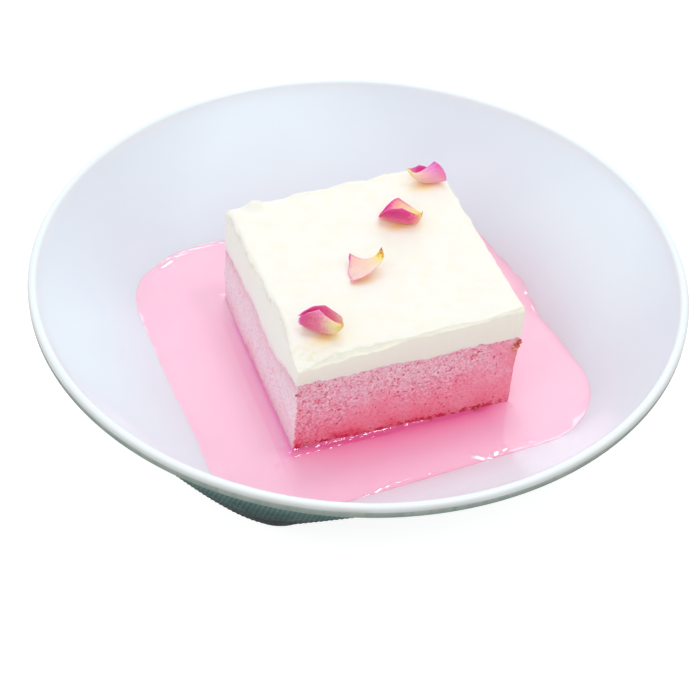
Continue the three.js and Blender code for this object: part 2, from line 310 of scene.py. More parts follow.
# Bowl: a round rim lofted down to a rounded square, ribbed outside and smooth inside
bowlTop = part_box("bowl")[1]
bowl = {
    "rimRadius": round(bowlTop.x / mm, 2), "height": round(bowlTop.z / mm, 2),
    "lipRadius": 1.6, "lipDrop": 1.5, "lipStep": 0.2, "lipTuck": 0.85,
    "lipUnder": (-62, 0, 5), "lipOver": (0, 172, 12),  # the roll's arcs: from and to in degrees, rows
    "outerBase": (59.0, 13.8, 2.0), "innerBase": (59.5, 21.5, 6.5),  # half side, corner radius, height
    "sidePower": 1.13, "cornerPower": 1.51,
    # Half side and height of each row from the recess underneath, round the foot ring, to the wall
    "footRows": [(25, 1.8), (50.2, 1.8), (50.7, 1.65), (51, 1.2), (51.15, 0.5), (51.5, 0.12), (52, 0),
                 (55.7, 0), (56.5, 0.12), (57.1, 0.5), (57.8, 1.05)],
    "footCorners": [(0, 0), (51, 12), (56.5, 12), (59, 13.8)],  # corner radius for a half side
    "outerRows": 20, "innerRows": (13, 15), "innerLow": [11, 9.2],  # rows, with the heights they end at
    "floorFillet": 1.2, "floorRows": [(0.5, 0.35), (1.4, 0.1), (2.8, 0), (30, 0)],  # inwards, height
    "ribs": 466, "columnsPerRib": 3, "ribDepth": 0.24,
    "ribStart": (1.5, 5), "ribEnd": 4.5,  # heights where they begin, and how far under the lip they end
    "ribLean": 0.22, "ribSwing": 0.14, "swingFrom": 131.0,  # lean in degrees for each mm of height
    "wobble": 0.03, "wobbleSize": 30, "wobbleFrom": 3,
    # The number that the glazes read: at the wall's top outside, and over the lip's arc in degrees
    "outsideGlaze": 0.7, "lipGlaze": [(0, 0.75), (85, 0.95), (180, 0.95)], "whiteFrom": 0.75,
}


def roundedSquare(half, corner, share):
    # A rounded square walked by share of its length: half a side, a corner arc, half a side, and the
    # same turned a quarter. Gives x, y and the direction that faces out
    flat = half - corner
    walked = share * 4 % 1 * (2 * flat + corner * np.pi / 2)
    bend = np.clip((walked - flat) / corner, 0, np.pi / 2)
    beyond = np.maximum(walked - flat - corner * np.pi / 2, 0)
    x = flat + corner * np.cos(bend) - beyond
    y = np.minimum(walked, flat) + corner * np.sin(bend)
    turn = np.floor(share * 4) * np.pi / 2
    cosine, sine = np.cos(turn), np.sin(turn)
    outX, outY = np.cos(bend), np.sin(bend)
    return (x * cosine - y * sine, x * sine + y * cosine,
            outX * cosine - outY * sine, outX * sine + outY * cosine)


def squareReach(angle, half, corner):
    # Distance from the middle to a rounded square towards an angle
    folded = np.abs((angle + np.pi / 4) % (np.pi / 2) - np.pi / 4)
    flat = half - corner
    along = flat * (np.cos(folded) + np.sin(folded))
    arc = along + np.sqrt(np.maximum(along ** 2 - 2 * flat ** 2 + corner ** 2, 0))
    return np.where(np.tan(folded) * half <= flat, half / np.cos(folded), arc)


def wallShape(z, base, topRadius, topZ):
    # Half side and corner radius of the wall at a height: each goes from the base's to the rim's by a
    # power of the height
    baseHalf, baseCorner, baseZ = base
    rise = np.clip((z - baseZ) / (topZ - baseZ), 0, 1)
    half = baseHalf + (topRadius - baseHalf) * rise ** bowl["sidePower"]
    corner = baseCorner + (topRadius - baseCorner) * rise ** bowl["cornerPower"]
    return half, np.minimum(corner, half)


def innerWall(z):
    lip = bowl["lipRadius"]
    return wallShape(z, bowl["innerBase"], bowl["rimRadius"] - 2 * lip, bowl["height"] - lip)


def outerWall(z):
    lip = 2 * bowl["lipRadius"]
    top = bowl["height"] - lip + bowl["lipStep"] - bowl["lipDrop"]
    return wallShape(z, bowl["outerBase"], bowl["rimRadius"] - lip, top)


def bowlProfile():
    # Rows of half side, corner radius, height, glaze (0 at the outside's foot, 1 for the white
    # inside), rib depth and drop, from under the foot, up the outside, over the lip and down the inside
    b = bowl
    footHalf, footZ = np.array(b["footRows"]).T
    lipZ = b["height"] - b["lipRadius"]
    underZ = lipZ - b["lipDrop"]
    wallTop = underZ - b["lipRadius"] * b["lipTuck"]
    outerZ = np.linspace(b["outerBase"][2], wallTop, b["outerRows"])
    outerHalf, outerCorner = outerWall(outerZ)
    under, over = np.radians(np.linspace(*b["lipUnder"])), np.radians(np.linspace(*b["lipOver"]))
    lipHalf = b["rimRadius"] - b["lipRadius"] + b["lipRadius"] * np.cos(np.concatenate([under, over]))
    lipHeights = [underZ + b["lipRadius"] * np.sin(under), lipZ + b["lipRadius"] * np.sin(over)]
    floorZ = b["innerBase"][2]
    innerZ = np.concatenate([np.linspace(lipZ, *b["innerRows"])[1:], b["innerLow"],
                             [floorZ + b["floorFillet"]]])
    innerHalf, innerCorner = innerWall(innerZ)
    floorIn, floorUp = np.array(b["floorRows"]).T
    floorHalf = innerHalf[-1] - floorIn
    floorCorner = innerCorner[-1] * floorHalf / innerHalf[-1]
    half = np.concatenate([footHalf, outerHalf, lipHalf, innerHalf, floorHalf])
    corner = np.concatenate([readTable(footHalf, b["footCorners"]), outerCorner, lipHalf, innerCorner,
                             floorCorner])
    z = np.concatenate([footZ, outerZ, *lipHeights, innerZ, floorZ + floorUp])
    wallStart, wallStop = len(footHalf), len(footHalf) + len(outerHalf)
    lipStart = wallStop + len(under)
    order = np.arange(len(z))
    # Outside, the glaze number grows with height, so the outside colour is painted darkest, as shade, at
    # the foot
    glaze = np.where(order < lipStart, b["outsideGlaze"] * np.clip(z / underZ, 0, 1), 1)
    glaze[lipStart:lipStart + len(over)] = readTable(np.degrees(over), b["lipGlaze"])
    ribbed = (order >= wallStart) & (order < wallStop)
    rib = ribbed * smoothStep(*b["ribStart"], z) * smoothStep(wallTop, wallTop - b["ribEnd"], z)
    drop = np.where(order < lipStart, np.minimum(z - wallTop, 0), 0)
    return half, corner, z, glaze, rib, drop


def makeBowl(materials):
    # Each profile row is carried round the rounded square at even angles; ribs draw the wall in by
    # depth * (1 - cos(ribs * angle)) / 2 and lean round it as the wall drops, more or less with
    # sin(4 * angle), so that they fan out towards the square foot's corners
    b = bowl
    half, corner, z, glaze, rib, drop = (row[:, None] for row in bowlProfile())
    columns = b["ribs"] * b["columnsPerRib"]
    angle = np.arange(columns)[None, :] / columns * 2 * np.pi
    wave = (1 - np.cos(b["ribs"] * angle)) / 2
    lean = b["ribLean"] - b["ribSwing"] * np.sin(4 * (angle + np.radians(b["swingFrom"])))
    turned = angle + np.radians(lean) * drop
    reach = squareReach(turned, half, corner)
    heights = np.broadcast_to(z, reach.shape)
    x, y = reach * np.cos(turned), reach * np.sin(turned)
    wobble = (1 + roughness(np.stack([x, y, heights], -1), b["wobbleSize"], seed=5)) * b["wobble"]
    shrink = 1 - (b["ribDepth"] * rib * wave + wobble * (heights > b["wobbleFrom"])) / reach
    points = np.stack([x * shrink, y * shrink, heights], -1).reshape(-1, 3)
    middles = [[0, 0, z[0, 0]], [0, 0, z[-1, 0]]]
    glazeAt = np.concatenate([np.broadcast_to(glaze, x.shape).ravel(), [0, 1]])
    grooveShadeAt = np.concatenate([(rib * wave).ravel(), [0, 0]])
    bandGlaze = np.repeat(glaze[:-1, 0], columns)
    white = np.concatenate([bandGlaze >= b["whiteFrom"], np.zeros(columns), np.ones(columns)])
    return meshPiece("glazed_bowl", np.concatenate([points, middles]), closedFaces(len(z), columns),
                     materials, {"glaze": glazeAt, "grooveShade": grooveShadeAt}, white)


glazesAndShade = {  # screen colours, along the glaze's number where there are several
    # outside: dark green, partly painted shade, near black towards the foot as painted shade
    "outside": [(0.0, (6, 10, 10)), (0.12, (9, 16, 15)), (0.3, (12, 22, 21)), (0.5, (57, 84, 82)),
                (0.62, (88, 115, 112)), (0.68, (116, 130, 123)), (0.75, (150, 154, 148))],
    # lip: grey to buff on the roll's outer side, thinner glaze with painted shade there, white above
    "lip": [(0.75, (150, 154, 148)), (0.82, (194, 196, 193)), (0.9, (238, 241, 242)),
            (0.95, (237, 244, 248)), (1.0, (231, 241, 248))],
    # The groove colour is painted shade in the ribs' grooves
    "streak": (94, 120, 117), "grooveShade": (16, 26, 25), "mottle": (227, 238, 247),
    "grooveShadeShare": 0.45,
}


def ribbedGlazeAndShade():
    # Dark celadon outside, its darkness partly painted shade and deepest towards the foot as painted
    # shade, with painted shade in the grooves, streaked down the wall, thinning to buff below the lip with
    # painted shade under the lip's roll
    material, tree, shader = newMaterial("celadon_glaze_and_shade")
    drift = rangeNode(tree, noiseNode(tree, 9), 0.3, 0.7, -0.02, 0.02)
    glaze = mathNode(tree, "ADD", readNumber(tree, "glaze"), drift)
    colour = rampNode(tree, glaze, glazesAndShade["outside"])
    streaks = rangeNode(tree, noiseNode(tree, 2.2, detail=4, stretch=(1, 1, 0.12)), 0.5, 0.75, 0, 0.4)
    streaks = timesNode(tree, streaks, rangeNode(tree, glaze, 0.25, 0.55, 0.1, 1))
    colour = mixNode(tree, streaks, colour, glazesAndShade["streak"])
    # Painted shade in the ribs' grooves
    grooveShade = timesNode(tree, readNumber(tree, "grooveShade"), glazesAndShade["grooveShadeShare"])
    colour = mixNode(tree, grooveShade, colour, glazesAndShade["grooveShade"])
    satin = rangeNode(tree, noiseNode(tree, 4, detail=2), 0.3, 0.7, 0.5, 0.7)
    setSockets(tree, shader, Base_Color=colour, Roughness=satin, IOR=1.3, Specular_IOR_Level=0.06)
    bumpNode(tree, shader, noiseNode(tree, 1.5), depth=0.06, strength=0.5)
    return material


def whiteGlazeAndLipShade():
    # Cool white gloss with a faint mottle, buff where it breaks over the lip's lower edge, with painted
    # shade on the roll's outer side
    material, tree, shader = newMaterial("white_glaze_and_lip_shade")
    mottle = rangeNode(tree, noiseNode(tree, 30, detail=2), 0.4, 0.7, 0, 0.4)
    colour = mixNode(tree, mottle, rampNode(tree, readNumber(tree, "glaze"), glazesAndShade["lip"]),
                     glazesAndShade["mottle"])
    gloss = rangeNode(tree, noiseNode(tree, 8, detail=2), 0.3, 0.7, 0.3, 0.36)
    setSockets(tree, shader, Base_Color=colour, Roughness=gloss, IOR=1.5, Coat_Weight=0.1,
               Coat_Roughness=0.15)
    bumpNode(tree, shader, noiseNode(tree, 12, detail=1), depth=0.03, strength=0.4)
    return material


bowlPiece = makeBowl([ribbedGlazeAndShade(), whiteGlazeAndLipShade()])
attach(bowlPiece, "root")
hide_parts("bowl")
print("bowl made")


# Cake: its plan at the foot and at the top of the cream, and where the sponge meets the cream
cake = {
    "foot": {"front": (-39.7, -40.0), "right": (35.6, -46.0), "back": (44.6, 36.2),
             "left": (-35.5, 36.2)},
    "top": {"front": (-38.5, -41.5), "right": (38.8, -43.0), "back": (45.8, 37.9),
            "left": (-33.8, 38.4)},
    "footZ": bowl["innerBase"][2] + 0.3, "topZ": 53.6, "side": 78.0,
    "layer": {"front": 44.2, "right": 42.3, "back": 39.0, "left": 37.8},
    "layerSwells": [(-37, 8, 9, 22, 2.2), (-36, -43, 8, 8, 1.1), (-8, -43, 7, 12, 0.9),
                    (8, -43, 6, 10, -0.5), (17, -43, 4, 8, 0.5), (25, -43, 6, 10, 0.4)],
    "layerNoise": [(3.4, 11, 0.34), (1.2, 13, 0.36)],  # size, seed, height
    # How far the cream hangs lower on the left face, at places along Y, and how far in from it
    "leftDip": [(-42, 0.3), (-36, 0.6), (-31, 1.1), (-23, 4.0), (-15, 5.0), (-6, 4.0), (2, 2.6),
                (10, 2.6), (18, 1.8), (26, 1.2), (34, 0.2), (40, 0.0)],
    "dipReach": 8.0,
}


def blendCorners(u, v, front, right, back, left):
    # Two-way straight blend between the values at the plan's four corners
    return (1 - v) * ((1 - u) * front + u * right) + v * ((1 - u) * left + u * back)


def planPoint(z, u, v):
    # Where u along the front edge and v towards the back lie at a height: the corners move evenly
    # from the foot's to the top's, and the point is blended between the four
    rise = (z - cake["footZ"]) / (cake["topZ"] - cake["footZ"])
    return [blendCorners(u, v, **{name: foot[axis] + (cake["top"][name][axis] - foot[axis]) * rise
                                  for name, foot in cake["foot"].items()}) for axis in (0, 1)]


def spread(u, share):
    # Moves u towards the plan's middle or away from it: 0.5 + (u - 0.5) share
    return 0.5 + (u - 0.5) * share


def layerZ(u, v):
    # Height where the cream starts: blended between the corners, with swells, a dip along the left
    # face that fades as exp(-(distance / reach)^2), and a fine unevenness
    x, y = planPoint(cake["topZ"], u, v)
    place = flatPoints(x, y)
    uneven = sum(height * roughness(place, size, seed, 2) for size, seed, height in cake["layerNoise"])
    dip = readTable(y, cake["leftDip"]) * bell(u * cake["side"], cake["dipReach"])
    return blendCorners(u, v, **cake["layer"]) + hills(cake["layerSwells"], x, y) - dip + uneven


# Rose milk: level, climbing a little where it wets the bowl and the cake
milk = {
    "level": 15.0, "columns": 960, "overFloor": 0.1, "intoWall": 0.25, "intoCake": 0.7,
    # Width of the finer bands at both edges, their rows, and the power that crowds these to the edge
    "wallBand": (3.4, 28, 1.2), "middleRows": 12, "cakeBand": (8.4, 54, 1.1),
    "underRows": [(0, -2.5), (1, -0.5), (4, 0.25)],  # height over its bottom, and how far past the wall
    # Where the pool lies higher or lower at the wall: angle and width in degrees, rise
    "washes": [(18, 8, 0.7), (5, 7.5, 1.7), (-10, 5, -0.6), (-42, 14, 0.8), (-51, 2.5, 0.5),
               (154, 14, -0.9), (147, 4, -0.5), (130, 3.5, -0.6), (-148, 5, 0.4), (-163, 6, -0.4),
               (13, 3, 0.3)],
    "washPower": 4,
    "wallClimb": 0.6, "cakeClimb": 0.6, "climbWidth": 1.1,
    "wallDry": [(190, 42, 0.8), (-30, 16, 0.6)],  # at an angle and width, how much less it climbs
    "cakeDry": (0, 12, 0.4),  # in front, from X to X, the climb shrinks to this share
    "wallRagged": (0.45, 5), "cakeRagged": (0.4, 3.2), "raggedRing": 60,  # share and size of the noise
    "ripple": (0.04, 14),
    # Small facets that catch the overhead lamp: x, y, half length, half width, turn in degrees
    "glints": [(-46.4, -44.6, 1.8, 0.36, 6), (-38.4, -43.0, 1.5, 0.23, 4), (-35.0, -43.2, 0.8, 0.22, 0),
               (-31.9, -43.4, 1.2, 0.23, 6), (-27.4, -43.7, 0.9, 0.19, -8), (-24.3, -43.6, 0.7, 0.28, 20),
               (-20.6, -44.1, 0.6, 0.2, 0), (-17.8, -44.2, 0.7, 0.19, 6), (-14.9, -44.5, 0.4, 0.19, 0),
               (-12.8, -44.2, 0.6, 0.23, 20), (-36.8, -41.3, 0.7, 0.2, 20), (-31.3, -41.8, 1.0, 0.25, 8),
               (-27.3, -42.1, 0.8, 0.23, 12), (-20.4, -42.8, 0.6, 0.19, 6), (-16.4, -43.0, 0.7, 0.19, 0),
               (-8.3, -43.6, 0.8, 0.17, 6), (-3.3, -43.9, 0.6, 0.16, 0), (36.0, -47.7, 0.7, 0.2, 50),
               (-24.8, -66.4, 2.2, 0.2, 4), (-20.4, -65.8, 1.5, 0.42, 14), (-17.0, -65.3, 1.0, 0.3, 8),
               (-14.6, -63.6, 0.8, 0.24, 30), (-13.1, -64.9, 0.9, 0.3, -6), (-10.2, -64.9, 1.3, 0.2, 6),
               (-2.4, -65.0, 0.7, 0.3, 24), (-0.4, -66.0, 0.6, 0.26, -20), (15.6, -64.9, 1.8, 0.7, -38),
               (19.4, -65.7, 1.4, 0.6, 36), (21.6, -64.9, 1.4, 0.7, 24), (23.2, -65.2, 0.9, 0.6, 50),
               (25.0, -64.4, 1.5, 0.5, 20), (33.4, -63.6, 1.8, 0.7, -20),
               (-48.4, 62.0, 2.6, 0.42, 22), (-43.1, 64.9, 2.6, 0.3, 5), (-44.3, 62.0, 0.9, 0.34, -3),
               (-41.1, 62.4, 1.3, 0.34, 6), (-35.9, 63.2, 2.0, 0.26, -1), (-31.7, 63.1, 1.9, 0.26, -1)],
    # A facet's rise to +X and its change with X, its rise to +Y and its change with Y, and its soft edge
    "glintSlope": (0.033, 0.00185, 0.487, 0.0019), "glintEdge": (1.8, 1.0),
    # How much of the sponge's colour has soaked out, with the cake's painted shadow and the sponge's
    # painted reflection, at places along X in front and along Y at the left
    "frontSoakAndShadow": [(-50, 0.3), (-39, 0.55), (-28, 0.82), (-8, 1), (15, 1.02), (26, 0.95), (33, 0.5),
                  (38, 0.15), (46, 0.04)],
    "leftSoakAndShadow": [(-50, 0.25), (-38, 0.24), (0, 0.2), (18, 0.16), (30, 0.04), (38, 0.02)],
    "otherSoak": 0.06, "soakReach": 10.5,
    # Deeper pink close to the foot, painted shade and reflection of the sponge
    "footSoakAndShade": (0.24, 1.6, 0.2), "wallSoak": (0.1, 1.3),  # strength, reach, and the least soak it needs
    # A deeper strip along the front, a painted reflection of the sponge: strength, distances it ends
    # between, X it fades in and out, Y before
    "frontStripReflection": (0.16, (2.8, 2.4), (-45, -41), (0, -14), -38),
    # A painted lilac reflection of the left face: distances it ends between, even and edge strength,
    # width, Y in and out
    "lilacReflection": ((4.5, 3.8), 0.1, 0.62, 0.9, (-46, -41), (30, 20)),
    "creases": [(4.2, 0.45, 0.1), (7.0, 0.6, 0.05)],  # by the left face: distance, width, strength
    "creaseEnd": (16, -8),
}


def cakeSides(z):
    # For each of the cake's front, right, back and left sides at a height: a corner on it, and the
    # direction that it faces
    corners = [np.array(planPoint(z, u, v)) for u, v in ((0, 0), (1, 0), (1, 1), (0, 1))]
    for start, stop in zip(corners, corners[1:] + corners[:1]):
        yield start, np.array([stop[1] - start[1], start[0] - stop[0]]) / np.hypot(*(stop - start))


def cakeReach(angle, z, gap):
    # Distance from the middle to the cake's plan, made larger by a gap: the nearest of the four sides
    # that face that way, each at (its distance) / cos(angle to its normal)
    least = 0.01
    reach = np.full_like(angle, np.inf)
    for start, normal in cakeSides(z):
        towards = normal[0] * np.cos(angle) + normal[1] * np.sin(angle)
        side = (normal @ start + gap) / np.maximum(towards, least)
        reach = np.where(towards > least, np.minimum(reach, side), reach)
    return reach


def cakeDistances(x, y):
    # Distances outwards from the cake's front, right, back and left faces at the milk's level
    return np.stack([np.maximum(normal[0] * (x - start[0]) + normal[1] * (y - start[1]), 0)
                     for start, normal in cakeSides(milk["level"])])


def setGlints(x, y, z):
    # Where a glint lies the surface turns into a flat facet: middle height + slopeX dx + slopeY dy
    startX, changeX, startY, changeY = milk["glintSlope"]
    for middleX, middleY, halfLength, halfWidth, turned in milk["glints"]:
        dx, dy = x - middleX, y - middleY
        along, across = alongAcross(dx, dy, turned)
        apart = np.hypot(along / halfLength, across / halfWidth)
        middle = z.flat[np.argmin(dx ** 2 + dy ** 2)]
        facet = middle + (startX + changeX * middleX) * dx + (startY + changeY * middleY) * dy
        z = z + (facet - z) * smoothStep(*milk["glintEdge"], apart)
    return z


def milkTints(x, y, apart, toCake, toWall):
    # How much colour has soaked out, with the cake's painted shadow and the sponge's painted reflection in
    # it, as amount exp(-distance / reach) with each face's own amount weighed by its distance, and how
    # much painted lilac reflection of the left face the milk has along it
    m = milk
    amounts = [readTable(x, m["frontSoakAndShadow"]), m["otherSoak"], m["otherSoak"], readTable(y, m["leftSoakAndShadow"])]
    weights = apart + 1e-6
    amount = sum(a * weight for a, weight in zip(amounts, weights)) / weights.sum(0)
    footDeep, footReach, footLeast = m["footSoakAndShade"]
    soakAndShade = (amount * np.exp(-toCake / m["soakReach"])
            + footDeep * (amount > footLeast) * np.exp(-toCake / footReach))
    stripDeep, stripAway, stripIn, stripOut, stripBefore = m["frontStripReflection"]
    soakAndShade += (stripDeep * smoothStep(*stripAway, apart[0]) * smoothStep(*stripOut, x)
             * smoothStep(*stripIn, x) * (y < stripBefore))
    wallDeep, wallReach = m["wallSoak"]
    soakAndShade += wallDeep * np.exp(-toWall / wallReach)
    byLeft = apart[3]
    lilacAway, evenShare, edgeShare, edgeWidth, lilacIn, lilacOut = m["lilacReflection"]
    deepest = evenShare + edgeShare * bell(byLeft, edgeWidth)
    lilacReflection = smoothStep(*lilacAway, byLeft) * deepest * (byLeft > 0)
    lilacReflection *= smoothStep(*lilacOut, y) * smoothStep(*lilacIn, y)
    for distance, width, strength in m["creases"]:
        soakAndShade += strength * bell(byLeft - distance, width) * (byLeft > 0) * smoothStep(*m["creaseEnd"], y)
    return np.clip(soakAndShade, 0, 1), lilacReflection


def makeMilk(material):
    # The top runs from the wall to the cake on straight lines; its height is the level, plus the wash
    # times share^4, plus a climb * exp(-distance / width) at both edges; a tube of rows closes it below
    m = milk
    angle = np.arange(m["columns"]) / m["columns"] * 2 * np.pi
    cosine, sine = np.cos(angle), np.sin(angle)

    def hump(at, width):
        # A bell round an angle in degrees, the shorter way round
        return bell((np.degrees(angle) - at + 180) % 360 - 180, width)

    wash = sum(rise * hump(at, width) for at, width, rise in m["washes"])
    ring = flatPoints(cosine * m["raggedRing"], sine * m["raggedRing"])
    wallShare, wallSize = m["wallRagged"]
    cakeShare, cakeSize = m["cakeRagged"]
    wallClimb = m["wallClimb"] * (1 + wallShare * roughness(ring, wallSize, seed=21, octaves=3))
    cakeClimb = m["cakeClimb"] * (1 + cakeShare * roughness(ring, cakeSize, seed=22, octaves=3))
    for at, width, less in m["wallDry"]:
        wallClimb = wallClimb * (1 - less * hump(at, width))
    wall = squareReach(angle, *innerWall(m["level"] + wash + wallClimb)) + m["intoWall"]
    hole = cakeReach(angle, m["level"], -m["intoCake"])
    wallBand, wallRows, wallPower = m["wallBand"]
    cakeBand, cakeRows, cakePower = m["cakeBand"]
    byWall = wall - wallBand * np.linspace(0, 1, wallRows)[:, None] ** wallPower
    byCake = hole + cakeBand * np.linspace(1, 0, cakeRows)[:, None] ** cakePower
    between = byWall[-1] + (byCake[0] - byWall[-1]) * np.linspace(0, 1, m["middleRows"] + 2)[1:-1, None]
    reach = np.concatenate([byWall, between, byCake])
    x, y = reach * cosine, reach * sine
    dryFrom, dryTo, dryShare = m["cakeDry"]
    cakeClimb = cakeClimb * (1 - (1 - dryShare) * smoothStep(dryFrom, dryTo, x) * (y < 0))
    toWall = np.maximum(wall - m["intoWall"] - reach, 0)
    apart = cakeDistances(x, y)
    toCake = np.linalg.norm(apart, axis=0)
    share = (reach - hole) / (wall - hole)
    rippleHeight, rippleSize = m["ripple"]
    z = (m["level"] + wash * share ** m["washPower"] + wallClimb * np.exp(-toWall / m["climbWidth"])
         + cakeClimb * np.exp(-toCake / m["climbWidth"])
         + rippleHeight * roughness(flatPoints(x, y), rippleSize, seed=23, octaves=2))
    bottom = bowl["innerBase"][2] + m["overFloor"]
    tube = [(bottom, hole)]
    for up, outwards in m["underRows"]:
        height = np.full_like(angle, bottom + up)
        tube.append((height, squareReach(angle, *innerWall(height)) + outwards))
    under = [np.stack([radius * cosine, radius * sine, height + 0 * angle], -1)
             for height, radius in tube]
    points = np.concatenate([under, np.stack([x, y, setGlints(x, y, z)], -1)])
    # The soak carries painted shadow of the cake and painted reflection of the sponge
    soakAndShade, lilacReflection = milkTints(x, y, apart, toCake, toWall)
    hidden = np.ones((len(under), m["columns"]))
    return meshPiece("milk_pool", points.reshape(-1, 3),
                     [gridFaces(len(points), m["columns"], joinRows=True)], [material],
                     {"edge": np.concatenate([hidden, soakAndShade]), "lilacReflection": np.concatenate([hidden, lilacReflection])})


milkPaint = {
    # The soaked ramp also paints shadow and reflection, and the lilac colour is a painted reflection
    "plain": (254, 200, 222), "cloud": (254, 205, 225), "lilacReflection": (254, 116, 200),
    "soakedAndShaded": [(0.0, (250, 116, 174)), (0.55, (245, 110, 170)), (1.0, (230, 100, 158))],
}


def milkMaterial():
    # Wet pink milk, deeper where the sponge's colour has soaked out into it, with the cake's shadow and
    # the sponge's reflection painted in, and lilac where the left face's reflection is painted in
    material, tree, shader = newMaterial("rose_milk")
    cloud = rangeNode(tree, noiseNode(tree, 26), 0.35, 0.7)
    colour = mixNode(tree, cloud, milkPaint["plain"], milkPaint["cloud"])
    soakedAndShaded = readNumber(tree, "edge")
    colour = mixNode(tree, soakedAndShaded, colour, rampNode(tree, soakedAndShaded, milkPaint["soakedAndShaded"]))
    # Painted lilac reflection of the left face
    colour = mixNode(tree, readNumber(tree, "lilacReflection"), colour, milkPaint["lilacReflection"])
    gloss = rangeNode(tree, noiseNode(tree, 12, detail=2), 0.3, 0.7, 0.04, 0.08)
    setSockets(tree, shader, Base_Color=colour, Roughness=gloss, IOR=1.38, Subsurface_Weight=0.15,
               Subsurface_Radius=(1.0, 0.5, 0.6), Subsurface_Scale=0.002, Coat_Weight=0.8,
               Coat_Roughness=0.03)
    bumpNode(tree, shader, noiseNode(tree, 3.5, detail=2), depth=0.03, strength=0.2)
    return material


milkPiece = makeMilk(milkMaterial())
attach(milkPiece, "root")
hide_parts("rose_milk")
print("milk made")


# Sponge: an open crumb, soaked from its foot
sponge = {
    "edge": 0.9, "columns": 880, "rows": 78, "hiddenRows": 5, "underMilk": 2.0, "underCream": 0.1,
    "lowRing": 0.9, "highRings": (0.99, 0.9, 0.5), "middleZ": 40.0,  # hidden rows that close it
    "swell": 0.22, "swellSize": 9, "crumb": 0.11, "crumbSize": 1.1,
    "poreSize": 1.5, "poreDepth": 0.34, "finePoreSize": 0.8, "finePoreDepth": 0.16,
    "leftFrom": (0.75, -0.45), "leftRagged": (0.6, 0.9),  # distances round the corner; noise and its size
    # How far the colour of another height is used, at places along X: up the face, and towards its middle
    "toneShift": [(-40, -0.06), (-22, -0.03), (0, 0.03), (20, -0.01), (38, -0.05)],
    "toneEven": [(-40, 0.0), (8, 0.0), (18, 0.3), (28, 0.6), (38, 0.8)], "middleTone": 0.36,
    # Tinted places on the front: x, z, spread in X and Z, strength
    "warmSpots": [(22.0, 38.4, 3.2, 1.8, 0.5), (-34.4, 27.0, 1.8, 2.2, 0.6),
                  (37.3, 30.0, 1.1, 12.0, 0.75), (36.0, 38.0, 2.4, 1.6, 0.8),
                  (-38.2, 39.8, 0.8, 1.2, 0.8), (24.2, 15.4, 0.9, 0.7, 0.9)],
    # Pink left under the cream on the left face: strength and width at places along Y
    "bandStrength": [(-42, 0.5), (-36, 0.5), (-28, 0.3), (-10, 0.25), (0, 0.15), (10, 0.2), (22, 0.4),
                     (32, 0.6), (37, 0.85)],
    "bandWidth": [(-42, 3.2), (-28, 2.6), (8, 2.4), (37, 3.4)],
    # A pink streak across the left face: its height at places along Y, and its strength and width
    "streakLine": [(-38, 25), (-17.4, 31.4), (4.6, 38.6), (16, 41.5)], "streak": (0.3, 0.5),
    # Above this share of its height, at places along X, the front's crumb is coarse
    "coarseFrom": [(-40, -0.3), (-29, -0.25), (-22, 0.4), (-12, 0.58), (0, 0.5), (9, 0.28), (16, 0.32),
                   (23, 0.75), (30, 1.0), (40, 1.15)],
    "coarseNoise": (0.2, 8), "coarseBlend": 0.13,
    "coarseLeast": 0.36, "coarseElsewhere": 0.6, "smootherLeft": 0.8,
}


